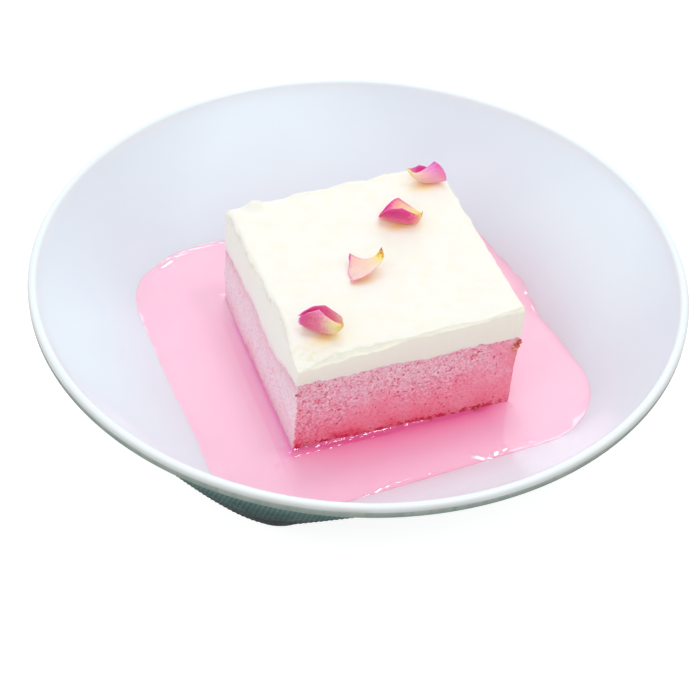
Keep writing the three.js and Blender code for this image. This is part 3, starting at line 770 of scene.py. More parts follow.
def makeSponge(material):
    # The cake's outline carried up from the foot to the layer's height; each point is pushed out along
    # its side's normal by noise and drawn in at pores
    s = sponge
    share = np.arange(s["columns"])[None, :] / s["columns"]
    half = cake["side"] / 2
    boxX, boxY, outX, outY = roundedSquare(half, s["edge"], share)
    u, v = (boxX + half) / cake["side"], (boxY + half) / cake["side"]
    top = layerZ(u, v) - s["underCream"]
    start = milk["level"] - s["underMilk"]
    hidden = np.linspace(cake["footZ"], start, s["hiddenRows"], endpoint=False)[:, None] + 0 * u
    z = np.concatenate([hidden, start + (top - start) * np.linspace(0, 1, s["rows"])[:, None]])
    x, y = planPoint(z, u + 0 * z, v + 0 * z)
    place = np.stack([x, y, z], -1)
    rise = (z - milk["level"]) / (top - milk["level"])

    ragged, raggedSize = s["leftRagged"]
    fromCorner = (boxX - boxY) + ragged * roughness(place, raggedSize, seed=47, octaves=2)
    left = smoothStep(*s["leftFrom"], fromCorner) * (outX < 0.5)
    onFront = smoothStep(-0.3, -0.8, outY) + 0 * z
    wander, wanderSize = s["coarseNoise"]
    coarseFrom = readTable(x, s["coarseFrom"]) + wander * roughness(place, wanderSize, seed=45, octaves=2)
    coarse = np.where(outY < -0.5, smoothStep(-s["coarseBlend"], s["coarseBlend"], rise - coarseFrom),
                      s["coarseElsewhere"])
    coarse = (s["coarseLeast"] + (1 - s["coarseLeast"]) * coarse) * (1 - s["smootherLeft"] * left)
    tone = (rise + (s["middleTone"] - rise) * readTable(x, s["toneEven"]) * onFront
            + readTable(x, s["toneShift"]) * onFront)
    band = (readTable(y, s["bandStrength"]) * left
            * bell(np.maximum(top - z, 0), readTable(y, s["bandWidth"])))
    streakStrength, streakWidth = s["streak"]
    band = band + streakStrength * left * bell(z - readTable(y, s["streakLine"]), streakWidth)

    near, number = pores(place, s["poreSize"], seed=31)
    pitAndShade = smoothStep(0.5, 0.2, near) * smoothStep(0.5, 0.8, number)
    nearFine, numberFine = pores(place, s["finePoreSize"], seed=37)
    pitFine = smoothStep(0.5, 0.25, nearFine) * (numberFine > 0.5)
    push = (s["swell"] * roughness(place, s["swellSize"], seed=41, octaves=2)
            + s["crumb"] * roughness(place, s["crumbSize"], seed=43, octaves=2) * (0.4 + 0.6 * coarse)
            - (s["poreDepth"] * pitAndShade + s["finePoreDepth"] * pitFine) * coarse)
    lowX, lowY = planPoint(z[:1], spread(u, s["lowRing"]), spread(v, s["lowRing"]))
    rings = [np.stack([lowX, lowY, z[:1]], -1), np.stack([x + outX * push, y + outY * push, z], -1)]
    for inner in s["highRings"]:
        ringU, ringV = spread(u, inner), spread(v, inner)
        ringZ = layerZ(ringU, ringV) - s["underCream"]
        rings.append(np.stack([*planPoint(ringZ, ringU, ringV), ringZ], -1))
    points = np.concatenate(rings)
    middles = [[*planPoint(cake["footZ"], 0.5, 0.5), cake["footZ"]],
               [*planPoint(cake["topZ"], 0.5, 0.5), s["middleZ"]]]

    def fill(numbers, over=0):
        # One number for each point, with plain values on the hidden rings and middles
        after = len(s["highRings"]) * s["columns"] + len(middles)
        return np.concatenate([np.zeros(s["columns"]), numbers.ravel(), np.full(after, over)])

    values = {"pitAndShade": fill(np.maximum(pitAndShade, 0.6 * pitFine) * coarse), "coarse": fill(coarse),
              "left": fill(left), "rise": fill(rise, 1), "tone": fill(tone, 1),
              "warm": fill(hills(s["warmSpots"], x, z) * onFront), "band": fill(band)}
    return meshPiece("sponge_cake", np.concatenate([points.reshape(-1, 3), middles]),
                     closedFaces(len(points), s["columns"]), [material], values)


spongePaint = {
    "front": [(0.0, (244, 90, 116)), (0.1, (251, 127, 149)), (0.5, (246, 158, 177)),
              (1.0, (243, 191, 200))],
    # left: paler, a smoother cut face with painted light on the lit left side
    "left": [(0.0, (254, 194, 207)), (0.15, (254, 218, 226)), (0.5, (250, 230, 234)),
             (0.85, (248, 222, 226)), (1.0, (246, 218, 225))],
    "lightCrumb": [(0.0, (252, 128, 152)), (0.2, (250, 166, 186)), (0.6, (249, 214, 226))],
    # The pore colour is painted shade in the crumb's pits
    "pale": (249, 214, 226), "dark": (224, 84, 124), "poreShade": (222, 50, 90), "speck": (222, 52, 84),
    # The corner colour is a painted highlight down the cut corner
    "amber": (228, 128, 104), "band": (236, 150, 176), "corner": (249, 232, 234),
    "footLine": (214, 24, 74),
}


def spongeMaterial():
    # Pink crumb: redder towards the foot, paler on the left face (a smoother cut, with painted light on
    # that lit side), dark in its pores as painted shade, pale on the crumbs between them, with a line of
    # dark crust at the milk and a painted highlight down the cut corner
    material, tree, shader = newMaterial("sponge_crumb")

    def noise(size, detail, *span):
        return rangeNode(tree, noiseNode(tree, size, detail), *span)

    def tint(share, colour, name):
        return mixNode(tree, share, colour, spongePaint[name])

    risen, coarse, left = (readNumber(tree, name) for name in ("rise", "coarse", "left"))
    rise = mathNode(tree, "ADD", readNumber(tree, "tone"), noise(11, 3, 0.3, 0.7, -0.14, 0.14))
    between = timesNode(tree, left, mathNode(tree, "SUBTRACT", 1, left))  # most along the cut corner
    fray = timesNode(tree, between, noise(0.9, 2, 0.35, 0.65, -1.6, 1.6))
    left = mathNode(tree, "ADD", left, fray, clamp=True)
    front = rampNode(tree, rise, spongePaint["front"])
    # The left face's paler ramp is partly painted light
    colour = mixNode(tree, left, front, rampNode(tree, rise, spongePaint["left"]))
    warm = timesNode(tree, readNumber(tree, "warm"), noise(1.4, 2, 0.35, 0.6))
    amber = mathNode(tree, "ADD", noise(5, 1, 0.66, 0.78, 0, 0.2), warm, clamp=True)
    colour = tint(amber, colour, "amber")
    band = timesNode(tree, readNumber(tree, "band"), noise(2.0, 3, 0.3, 0.55, 0.5, 1))
    colour = tint(band, colour, "band")
    lightCrumb = tint(left, rampNode(tree, rise, spongePaint["lightCrumb"]), "pale")
    pale = timesNode(tree, noise(0.85, 2, 0.49, 0.59), rangeNode(tree, coarse, 0, 1, 0.2, 0.8))
    colour = mixNode(tree, pale, colour, lightCrumb)
    dark = timesNode(tree, noise(0.75, 2, 0.46, 0.37), rangeNode(tree, coarse, 0, 1, 0.24, 0.6))
    colour = tint(dark, colour, "dark")
    # Painted shade in the pits
    colour = tint(timesNode(tree, readNumber(tree, "pitAndShade"), 0.5), colour, "poreShade")
    speck = timesNode(tree, noise(1.1, 0, 0.72, 0.78, 0, 0.75), rangeNode(tree, left, 0, 1, 1, 0.35))
    colour = tint(speck, colour, "speck")
    # A painted highlight down the cut corner
    colour = tint(timesNode(tree, between, 2.6), colour, "corner")
    ragged = mathNode(tree, "ADD", risen, noise(1.4, 2, 0.3, 0.7, -0.035, 0.035))
    footLine = timesNode(tree, rangeNode(tree, ragged, 0.075, 0.05), noise(2.6, 2, 0.4, 0.54))
    colour = tint(timesNode(tree, footLine, rangeNode(tree, left, 0, 1, 0.85, 0.35)), colour, "footLine")
    setSockets(tree, shader, Base_Color=colour, Roughness=rangeNode(tree, rise, 0, 0.35, 0.45, 0.85),
               IOR=1.4, Specular_IOR_Level=0.3, Subsurface_Weight=0.1,
               Subsurface_Radius=(1.0, 0.35, 0.4), Subsurface_Scale=0.0012)
    bumpNode(tree, shader, noiseNode(tree, 0.5), depth=0.1, strength=0.4)
    return material


spongePiece = makeSponge(spongeMaterial())
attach(spongePiece, "root")
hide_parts("sponge")
print("sponge made")


# Cream: a spread layer, wavy along its top edges and smeared by the spatula
cream = {
    "columns": 190, "rows": 30, "edge": 1.7, "frontEdge": 0.55, "frontReach": (1.5, 7), "tall": 20.0,
    "crowdSides": 0.55, "crowdRows": 0.3, "underLayer": 0.15, "bulge": 0.008,
    # Hills and dents of the top: x, y, spread in X and Y, height
    "relief": [(-39, -42, 12, 11, -3.0), (-27, -33, 7, 2.2, 0.5), (-29, -39, 6, 1.8, 0.5),
               (1, -38, 8, 2.2, 0.6), (-14, -41, 7, 1.8, -0.5), (24, -41, 6, 2.0, -0.5),
               (-24, 36.8, 2.8, 2.6, 2.0), (-7, 37, 4, 2.4, 0.5), (11, 36.5, 4.5, 2.6, 0.8),
               (19, 37, 2.5, 2.2, -0.4), (27, 37, 3.5, 2.4, 0.4), (-35, 39, 4, 4, -0.8)],
    "drift": (0.16, 15), "lumps": (0.38, 3.6), "drag": (0.1, 2.6), "torn": (0.4, 2.2),  # depth, size
    "spatula": -14, "dragStretch": 0.16, "tornStretch": 0.4,  # its direction, and how long it draws marks
    "tornPatch": (-33.5, -36.5, 7.0, 5.0, 1.0),
    # How far the top has slumped down to the cut at the front edge, at places along X
    "slump": [(-38, 0.1), (-34, 0.5), (-31, 1.8), (-27, 1.5), (-23, 1.7), (-19, 1.3), (-15, 1.3),
              (-11, 1.6), (-7, 0.9), (-2, 0.7), (2, 0.3), (5, 0.9), (9, 1.0), (15, 0.9), (20, 0.8),
              (24, 0.6), (27, 0.5), (31, 0.6), (35, 0.8), (40, 1.1)],
    "slumpNoise": (0.3, 3.4), "slumpRagged": (0.35, 2.6),
    # How far the knife has drawn in the top's left edge, at places along Y, and how far in from it
    "leftBevel": [(-42, 0.0), (-37, 0.3), (-31, 1.2), (-23, 2.2), (-14, 2.1), (-4, 1.5), (10, 1.2),
                  (26, 1.3), (36, 0.9), (40, 0.4)],
    "bevelReach": 6.0,
    "tear": (0.45, 5.5), "tearStretch": 1.6, "tearRise": (0.93, 0.12),  # at this share of the height
    "knife": (0.08, 1.6), "knifeStretch": 0.12,
}


def slumpAt(x, y):
    # How far the top has sunk near the front edge: the slump there, easing out over its own depth
    (startX, startY), (stopX, stopY) = cake["top"]["front"], cake["top"]["right"]
    front = startY + (stopY - startY) * (x - startX) / (stopX - startX)
    noise, noiseSize = cream["slumpNoise"]
    ragged, raggedSize = cream["slumpRagged"]
    depth = readTable(x, cream["slump"])
    depth = depth * (1 + noise * roughness(flatPoints(x, 0 * x), noiseSize, seed=60, octaves=2))
    reach = depth * (1 + ragged * roughness(flatPoints(x, y), raggedSize, seed=58, octaves=2)) + 0.3
    return depth * (1 - smoothStep(0.1, 1.0, (y - front) / reach))


def creamZ(x, y):
    # Height of the cream's top: the level, the relief, a slow drift, the spatula's long drag marks,
    # lumps near the edges, a torn patch by the front corner and the slump at the front
    def noise(points, name, seed, octaves):
        depth, size = cream[name]
        return depth * roughness(points, size, seed, octaves)

    place = flatPoints(x, y)
    along, across = alongAcross(x, y, cream["spatula"])
    byBack = smoothStep(34.0, 37.0, y)
    byLeft = smoothStep(-35.0, -38.0, x) * smoothStep(-34, -24, y)
    byFront = smoothStep(-39.5, -42.0, y) * (0.55 + 0.45 * smoothStep(20, 30, x))
    lumps = noise(place, "lumps", 56, 3) * np.minimum(byBack + 0.45 * byLeft + byFront, 1)
    drag = noise(flatPoints(along * cream["dragStretch"], across), "drag", 53, 2)
    torn = noise(flatPoints(along * cream["tornStretch"], across), "torn", 59, 3)
    return (cake["topZ"] + hills(cream["relief"], x, y) + noise(place, "drift", 51, 2) + drag + lumps
            + torn * hills([cream["tornPatch"]], x, y) - slumpAt(x, y))


def boxShell(countX, countY, countZ):
    # The skin of a box of unit cells: its points as whole numbers, each once, and quads that face out
    counts = np.array([countX, countY, countZ])
    corners = []
    for axis in range(3):
        first, second = (axis + 1) % 3, (axis + 2) % 3
        a, b = np.meshgrid(np.arange(counts[first]), np.arange(counts[second]), indexing="ij")
        for end in (0, counts[axis]):
            quad = np.zeros((a.size, 4, 3), int)
            quad[..., axis] = end
            quad[..., first] = a.reshape(-1, 1) + np.array([0, 1, 1, 0])
            quad[..., second] = b.reshape(-1, 1) + np.array([0, 0, 1, 1])
            corners.append(quad if end else quad[:, ::-1])
    points, index = np.unique(np.concatenate(corners).reshape(-1, 3), axis=0, return_inverse=True)
    return points, index.reshape(-1, 4)


def makeCream(material):
    # A box whose edges are rounded towards an inner core, carried onto the cake's plan between the
    # layer's height and the cream's top; "out" is the direction from the core, and noise moves along it
    c = cream
    cells, quads = boxShell(c["columns"], c["columns"], c["rows"])
    side, tall = cake["side"], c["tall"]
    point = np.stack([easeToEnds(cells[:, 0] / c["columns"], c["crowdSides"]) * side,
                      easeToEnds(cells[:, 1] / c["columns"], c["crowdSides"]) * side,
                      easeToEnds(cells[:, 2] / c["rows"], c["crowdRows"]) * tall], -1)
    edge = c["edge"] + (c["frontEdge"] - c["edge"]) * (1 - smoothStep(*c["frontReach"], point[:, 1]))
    core = np.stack([np.clip(point[:, 0], edge, side - edge), np.clip(point[:, 1], edge, side - edge),
                     np.minimum(point[:, 2], tall - edge)], -1)
    away = point - core
    length = np.linalg.norm(away, axis=-1, keepdims=True)
    out = away / np.maximum(length, 1e-9)
    point = core + out * np.abs(away).max(-1, keepdims=True)
    u, v, rise = point[:, 0] / side, point[:, 1] / side, point[:, 2] / tall
    topX, topY = planPoint(cake["topZ"], u, v)
    low = layerZ(u, v) - c["underLayer"]
    z = low + (creamZ(topX, topY) - low) * rise
    swell = 1 + c["bulge"] * np.sin(np.pi * rise)
    x, y = planPoint(z, spread(u, swell), spread(v, swell))
    x = x + readTable(y, c["leftBevel"]) * smoothStep(0.1, 1, rise) * np.exp(-u * side / c["bevelReach"])

    place = np.stack([x, y, z], -1)
    sideways = np.clip(1 - out[:, 2] * 1.2, 0, 1) * (length[:, 0] > 0)
    onFront, onLeft = smoothStep(-0.5, -0.9, out[:, 1]), smoothStep(-0.5, -0.9, out[:, 0])
    tornRise, tornWidth = c["tearRise"]
    nearTop = bell(rise - tornRise, tornWidth)
    (tearDepth, tearSize), (knifeDepth, knifeSize) = c["tear"], c["knife"]
    tear = roughness(place * [1, 1, c["tearStretch"]], tearSize, seed=55, octaves=3)
    tear = tearDepth * tear * nearTop * sideways * (1 - 0.85 * onFront)
    knife = roughness(place * [1, 1, c["knifeStretch"]], knifeSize, seed=57, octaves=2)
    knife = knifeDepth * knife * sideways * np.maximum(onFront, 1 - nearTop)
    place = place + out * (tear + knife)[:, None]

    # Painted warm shadow under each petal
    petalShadow = np.max([hills([spot], x, y) for spot in petalShadowSpots], axis=0) * smoothStep(0.3, 0.8, rise)
    onTop = smoothStep(0.95, 1, rise) * smoothStep(0.25, 0.6, out[:, 2])
    patch = hills([c["tornPatch"]], x, y) * smoothStep(0.9, 1, rise)
    values = {"petalShadow": petalShadow, "rise": rise, "cut": sideways * (1 - 0.5 * onLeft),
              "torn": np.maximum(nearTop * sideways * (1 - onFront), 0.8 * patch),
              "slumped": smoothStep(0.1, 0.6, slumpAt(x, y)) * onTop}
    return meshPiece("cream_layer", place, [quads], [material], values)


creamPaint = {
    "plain": (243, 241, 232), "dent": (241, 236, 216), "torn": (232, 225, 192),
    "slumped": (247, 243, 226),
    # The front cut face's warmer beige is painted warm bounce light
    "sides": [(0.5, (254, 249, 236)), (0.95, (248, 240, 223))],  # left face, cut front face
    # The stain colour is the petals' painted warm shadow
    "bleed": (240, 200, 202), "leftBleed": (246, 218, 224), "petalShadow": (243, 213, 140),
}


def creamMaterial():
    # Whipped cream: warm white, faintly yellow in its dents, darker where it was cut or has slumped, with
    # a painted shade line where the slump starts and painted warm bounce light as beige on the cut front
    # face, pink where the sponge has bled into it, and orange as the petals' painted warm shadows
    material, tree, shader = newMaterial("whipped_cream")

    def noise(size, detail, *span):
        return rangeNode(tree, noiseNode(tree, size, detail), *span)

    def tint(share, colour, name):
        return mixNode(tree, share, colour, creamPaint[name])

    cut, rise, slumped = (readNumber(tree, name) for name in ("cut", "rise", "slumped"))
    dents = timesNode(tree, noise(5, 3, 0.45, 0.75), 0.5)
    colour = mixNode(tree, dents, creamPaint["plain"], creamPaint["dent"])
    onSides = rangeNode(tree, cut, 0, 0.5, 0, 0.85)
    colour = mixNode(tree, onSides, colour, rampNode(tree, cut, creamPaint["sides"]))
    torn = timesNode(tree, readNumber(tree, "torn"), noise(2.0, 3, 0.45, 0.62))
    colour = tint(timesNode(tree, torn, 0.7), colour, "torn")
    colour = tint(timesNode(tree, slumped, 0.8), colour, "slumped")
    step = timesNode(tree, slumped, mathNode(tree, "SUBTRACT", 1, slumped))  # most where the slump starts
    # A painted shade line where the slump starts, in the torn colour
    colour = tint(timesNode(tree, step, 1.7), colour, "torn")
    colour = tint(rangeNode(tree, rise, 0.0, 0.05, 0.5, 0), colour, "bleed")
    onLeft = timesNode(tree, rangeNode(tree, cut, 0.55, 0.9, 1, 0), noise(2.4, 3, 0.3, 0.6, 0.45, 1))
    colour = tint(timesNode(tree, rangeNode(tree, rise, 0.0, 0.2, 0.8, 0), onLeft), colour, "leftBleed")
    # Painted warm shadows of the petals
    colour = tint(readNumber(tree, "petalShadow"), colour, "petalShadow")
    setSockets(tree, shader, Base_Color=colour, Roughness=noise(3, 2, 0.3, 0.7, 0.42, 0.6), IOR=1.45,
               Subsurface_Weight=0.2, Subsurface_Radius=(1.0, 0.8, 0.6), Subsurface_Scale=0.0012,
               Specular_IOR_Level=0.35)
    bumpNode(tree, shader, noiseNode(tree, 1.1, detail=4), depth=0.08, strength=0.4)
    return material


# Petals: sheets rolled up on both sides of their middle line. Each side has its half width, curl,
# cut-back corner and fullness; the heading points from the claw to the broad end. A pull is the
# place (s, t) that it acts on, its spread and how far it draws; colours run from the claw outwards
petals = [
    {"name": "petal_1", "at": (35.01, 26.95), "heading": -2.32, "roll": -38.21, "pitch": 15.4,
     "length": 13.93, "bend": -2.32,
     "near": (9.11, 2.89, 0.28, 1.4), "far": (9.13, 2.16, 0.37, 0.78), "clawLift": 4.33,
     "endLift": 0.96, "shoulder": 0.05, "tail": (-0.38, 0.36, 0.51),
     "pulls": [(1, -1, 0.3, (0.09, 0.41, 1.02)), (1, 0, 0.3, (0.88, -0.69, 0.33)),
               (1, 1, 0.4, (0.21, -0.63, -1.8)), (0.5, -1, 0.4, (-0.16, -0.01, 0.19)),
               (0.6, 1, 0.4, (0.03, 0.35, 1.45))],
     "outside": [(0.0, (245, 232, 165)), (0.25, (242, 212, 178)), (0.5, (234, 176, 184)),
                 (0.78, (230, 136, 204)), (1.0, (218, 84, 150))],
     "inside": [(0.0, (245, 225, 140)), (0.2, (242, 160, 186)), (0.5, (228, 78, 166)),
                (1.0, (216, 62, 158))],
     "rim": (226, 122, 204), "keel": (240, 194, 178)},
    {"name": "petal_2", "at": (18.76, 10.47), "heading": 143.66, "roll": 16.05, "pitch": -8.11,
     "length": 15.18, "bend": -0.44,
     "near": (10.0, 1.25, 0.1, 0.59), "far": (8.35, 1.77, 0.1, 0.48), "clawLift": 2.27,
     "endLift": -0.22, "shoulder": 0.58, "tail": (1.06, -1.51, 2.88),
     "pulls": [(0.7, -1, 0.3, (-0.16, -0.69, 1.25)), (1, 0, 0.3, (-0.72, -0.47, 0.26)),
               (0.5, 1, 0.5, (0.29, -0.98, 1.97)), (1, -1, 0.4, (0.84, 0.96, -1.43)),
               (1, 1, 0.3, (0.93, 1.05, -1.34))],
     "outside": [(0.0, (190, 110, 36)), (0.06, (240, 200, 90)), (0.14, (232, 140, 146)),
                 (0.3, (202, 66, 132)), (0.65, (190, 54, 134)), (0.9, (198, 38, 110)),
                 (1.0, (186, 22, 74))],
     "inside": [(0.0, (205, 130, 40)), (0.12, (248, 220, 100)), (0.32, (250, 222, 190)),
                (0.6, (248, 198, 174)), (0.74, (242, 160, 162)), (0.82, (220, 92, 186)),
                (0.93, (208, 60, 172)), (1.0, (188, 26, 90))],
     "rim": (214, 70, 150), "keel": (232, 140, 150)},
    {"name": "petal_3", "at": (-1.2, -8.0), "heading": 190, "roll": 10.5, "pitch": 16,
     "length": 14.0, "bend": 0.55,
     "near": (7.6, 1.24, 0.29, 1.92), "far": (5.2, 0.41, -0.09, 0.41), "clawLift": 2.3,
     "endLift": 1.2, "shoulder": 0.45, "tail": (-0.04, -0.58, 1.77),
     "pulls": [(1, -1, 0.3, (-0.87, -1.75, 1.47)), (1, 1, 0.3, (-0.04, -0.3, 0.13)),
               (1, 0, 0.4, (0.02, 0.59, -0.5)), (0.5, -1, 0.5, (0.05, 0.05, -0.6))],
     "outside": [(0.0, (190, 110, 50)), (0.2, (235, 170, 130)), (0.5, (212, 90, 150)),
                 (1.0, (200, 65, 140))],
     "inside": [(0.0, (170, 100, 40)), (0.06, (226, 176, 60)), (0.14, (246, 224, 120)),
                (0.28, (251, 222, 188)), (0.5, (249, 208, 194)), (0.8, (247, 196, 192)),
                (1.0, (238, 176, 198))],
     "rim": (228, 112, 176), "keel": (250, 212, 196)},
    {"name": "petal_4", "at": (-26.72, -31.72), "heading": 132.19, "roll": 32.7, "pitch": 8.09,
     "length": 14.57, "bend": 1.73,
     "near": (10.59, 2.66, -0.02, 0.46), "far": (8.01, 2.9, 0.04, 0.6), "clawLift": 3.26,
     "endLift": 1.56, "shoulder": 0.45, "tail": (0.0, -0.3, 1.9),
     "pulls": [(0.6, 1, 0.3, (0.22, 0.74, 3.1)), (1, 1, 0.35, (0.23, 0.3, -0.74)),
               (1, -1, 0.35, (0.7, 0.18, -1.86)), (0.5, -1, 0.5, (1.04, -0.12, 2.61)),
               (1, 0, 0.35, (-1.16, 0.02, 1.31))],
     "outside": [(0.0, (222, 186, 80)), (0.1, (232, 214, 140)), (0.25, (230, 210, 166)),
                 (0.42, (224, 178, 164)), (0.56, (218, 126, 154)), (0.8, (200, 88, 128)),
                 (1.0, (206, 58, 150))],
     "inside": [(0.0, (244, 218, 160)), (0.15, (250, 208, 206)), (0.4, (244, 160, 186)),
                (0.65, (234, 106, 172)), (0.85, (216, 70, 162)), (1.0, (200, 56, 156))],
     "rim": (232, 150, 206), "keel": (208, 108, 134)},
]
petalGrid = {
    "along": 72, "across": 60, "crowdAlong": 0.9,
    "clawWidth": 0.14, "growPower": 1.2, "shoulderFrom": 0.7,
    "clawLength": 0.1, "tailWidth": 0.12, "tailReach": 0.055,
    "thickness": 0.3, "rimThickness": 0.1, "sink": 0.06,
    "vein": (0.05, 0.5), "wrinkle": (0.2, 3.6), "crinkle": (0.12, 1.3),  # depth and size
    "veinFan": (1.2, 5.5), "paintFan": (0.5, 7.0), "fanStep": 3.0, "noiseStep": 20,
}
petalLook = {"glow": (255, 232, 190), "glowShare": 0.75, "keelShare": 0.5, "rimShare": 0.75,
             "vein": (255, 235, 235)}


def petalSheet(petal, s, t):
    # s runs from the claw to the end and t from the near edge to the far one. Across, each side is an
    # arc (sin(t curl), 1 - cos(t curl)) / curl of its half width; the half width grows as
    # claw + (1 - claw) sin(pi/2 s^full)^power and narrows past the shoulder; the end's corners are cut
    # back by cut s^3 t^2; the claw lifts by (1-s)^3 and the end by s^3. The claw thins to a tail drawn
    # out by exp(-s / reach), and each pull draws the sheet to a point by exp(-distance in (s, t) / spread)
    g = petalGrid
    sides = zip(petal["near"], petal["far"])
    width, curl, cut, full = (np.where(t < 0, near, far) for near, far in sides)
    growth = g["clawWidth"] + (1 - g["clawWidth"]) * np.sin(np.pi / 2 * s ** full) ** g["growPower"]
    past = np.maximum(0, (s - g["shoulderFrom"]) / (1 - g["shoulderFrom"]))
    claw = np.minimum(s / g["clawLength"], 1)
    half = width * growth * (1 - petal["shoulder"] * past ** 2)
    half = half * (g["tailWidth"] + (1 - g["tailWidth"]) * claw * (2 - claw))
    x = petal["length"] * (s - 0.5 - cut * s ** 3 * t ** 2)
    y = half * np.sin(t * curl) / curl + petal["bend"] * (2 * s - 1) ** 2
    z = (half * (1 - np.cos(t * curl)) / curl + petal["clawLift"] * (1 - s) ** 3
         + petal["endLift"] * s ** 3)
    points = np.stack([x, y, z], -1) + np.exp(-s / g["tailReach"])[..., None] * petal["tail"]
    for atS, atT, spread, offset in petal["pulls"]:
        points = points + np.exp(-np.hypot(s - atS, t - atT) / spread)[..., None] * offset
    return points


def fanNoise(s, t, number, stretch, seed):
    # Noise drawn out along the petal, each petal reading its own part of it
    place = np.stack([s * stretch[0], t * stretch[1], 0 * s + number * petalGrid["fanStep"]], -1)
    return roughness(place, petalGrid["vein"][1], seed, octaves=2)


def petalPoints(petal, number):
    # The sheet's inside and outside faces, half a thickness either way along its normal, with veins
    # that fan out from the claw and wrinkles that grow towards the end, turned and set on the cream
    g = petalGrid
    s, t = np.meshgrid(np.linspace(0, 1, g["along"]) ** g["crowdAlong"],
                       np.sin(np.linspace(-np.pi / 2, np.pi / 2, g["across"])), indexing="ij")
    sheet = petalSheet(petal, s, t)
    normal = np.cross(np.gradient(sheet, axis=0), np.gradient(sheet, axis=1))
    normal /= np.linalg.norm(normal, axis=-1, keepdims=True) + 1e-9
    place = sheet + number * g["noiseStep"]
    (wrinkle, wrinkleSize), (crinkle, crinkleSize) = g["wrinkle"], g["crinkle"]
    relief = (g["vein"][0] * fanNoise(s, t, number, g["veinFan"], seed=61) * s
              + wrinkle * roughness(place, wrinkleSize, seed=63, octaves=2) * (0.25 + 0.75 * s * s)
              + crinkle * roughness(place, crinkleSize, seed=67) * smoothStep(0.55, 0.95, s))
    thinning = np.maximum(np.abs(t), 2 * s - 1) ** 6
    thickness = g["rimThickness"] + (g["thickness"] - g["rimThickness"]) * (1 - thinning)
    middle, aside = sheet + normal * relief[..., None], normal * (thickness / 2)[..., None]
    turn = (Matrix.Rotation(np.radians(petal["heading"]), 3, "Z")
            @ Matrix.Rotation(np.radians(petal["pitch"]), 3, "Y")
            @ Matrix.Rotation(np.radians(petal["roll"]), 3, "X"))
    points = np.stack([middle + aside, middle - aside]) @ np.array(turn).T + [*petal["at"], 0]
    gap = (points[..., 2] - creamZ(points[..., 0], points[..., 1])).min()
    points[..., 2] -= gap + g["sink"]
    return points, s, t


def sheetFaces(along, across):
    # Quads of the inside face, of the outside face turned over, and of the rim between them
    face = gridFaces(along, across, False)
    other = along * across
    index = np.arange(other).reshape(along, across)
    loop = np.concatenate([index[0, :-1], index[:-1, -1], index[-1, :0:-1], index[:0:-1, 0]])
    after = np.roll(loop, -1)
    rim = np.stack([loop, after, after + other, loop + other], -1)
    return [face[:, ::-1], face + other, rim]


def petalMaterial(petal):
    # Colour runs from the claw to the end by one ramp inside and one outside, broken by veins, with
    # a tinted rim
    material, tree, shader = newMaterial(petal["name"] + "_skin")
    veins, fan = noiseNode(tree, 0.8), readNumber(tree, "fan")
    drift = rangeNode(tree, veins, 0.3, 0.7, -0.07, 0.07)
    along = mathNode(tree, "ADD", readNumber(tree, "along"), drift)
    colour = mixNode(tree, readNumber(tree, "outer"), rampNode(tree, along, petal["inside"]),
                     rampNode(tree, along, petal["outside"]))
    keel = timesNode(tree, readNumber(tree, "keel"), petalLook["keelShare"])
    colour = mixNode(tree, keel, colour, petal["keel"])
    rim = timesNode(tree, readNumber(tree, "rim"), petalLook["rimShare"])
    colour = mixNode(tree, rim, colour, petal["rim"])
    paleVeins = rangeNode(tree, fan, 0.1, 0.9, 0, 0.28)
    colour = mixNode(tree, paleVeins, colour, petalLook["vein"], "SOFT_LIGHT")
    setSockets(tree, shader, Base_Color=colour, Roughness=rangeNode(tree, veins, 0.3, 0.7, 0.42, 0.6),
               Subsurface_Weight=0.75, Subsurface_Radius=(1.0, 0.5, 0.45), Subsurface_Scale=0.001,
               Sheen_Weight=0.15, Specular_IOR_Level=0.35)
    bumpNode(tree, shader, fan, depth=0.1, strength=0.5)
    letGlowThrough(tree, shader)
    return material


def letGlowThrough(tree, shader):
    # A petal is thin: its shadow keeps some of the light, tinted warm
    through = tree.nodes.new("ShaderNodeBsdfTransparent")
    through.inputs["Color"].default_value = paint(*petalLook["glow"])
    shadowRay = tree.nodes.new("ShaderNodeLightPath").outputs["Is Shadow Ray"]
    blend = tree.nodes.new("ShaderNodeMixShader")
    sources = (timesNode(tree, shadowRay, petalLook["glowShare"]), shader.outputs[0], through.outputs[0])
    for socket, source in zip(blend.inputs, sources):
        tree.links.new(source, socket)
    tree.links.new(blend.outputs[0], tree.nodes["Material Output"].inputs["Surface"])


def makePetal(petal, number):
    # Numbers for the material: s along it, the rim where |t| or s nears 1, the keel where |t| is
    # small, and a fan of noise that is long along s
    points, s, t = petalPoints(petal, number)
    fan = 0.5 + 0.5 * fanNoise(s, t, number, petalGrid["paintFan"], seed=65)
    sideRim = smoothStep(0.86, 0.98, np.abs(t)) * smoothStep(0.2, 0.5, s)
    rim = np.maximum(sideRim, smoothStep(0.93, 0.99, s))
    keel = smoothStep(0.85, 0.25, np.abs(t)) * smoothStep(0.15, 0.4, s)
    ones = np.ones_like(s)
    values = {"along": np.stack([s, s]), "rim": np.stack([0.75 * rim, rim]), "fan": np.stack([fan, fan]),
              "keel": np.stack([keel, keel]), "outer": np.stack([0 * ones, ones])}  # inside, outside
    piece = meshPiece("rose_" + petal["name"], points.reshape(-1, 3), sheetFaces(*s.shape),
                      [petalMaterial(petal)], values)
    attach(piece, "root")
    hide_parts(petal["name"])


for petalNumber, petal in enumerate(petals):
    makePetal(petal, petalNumber)
print("petals made")

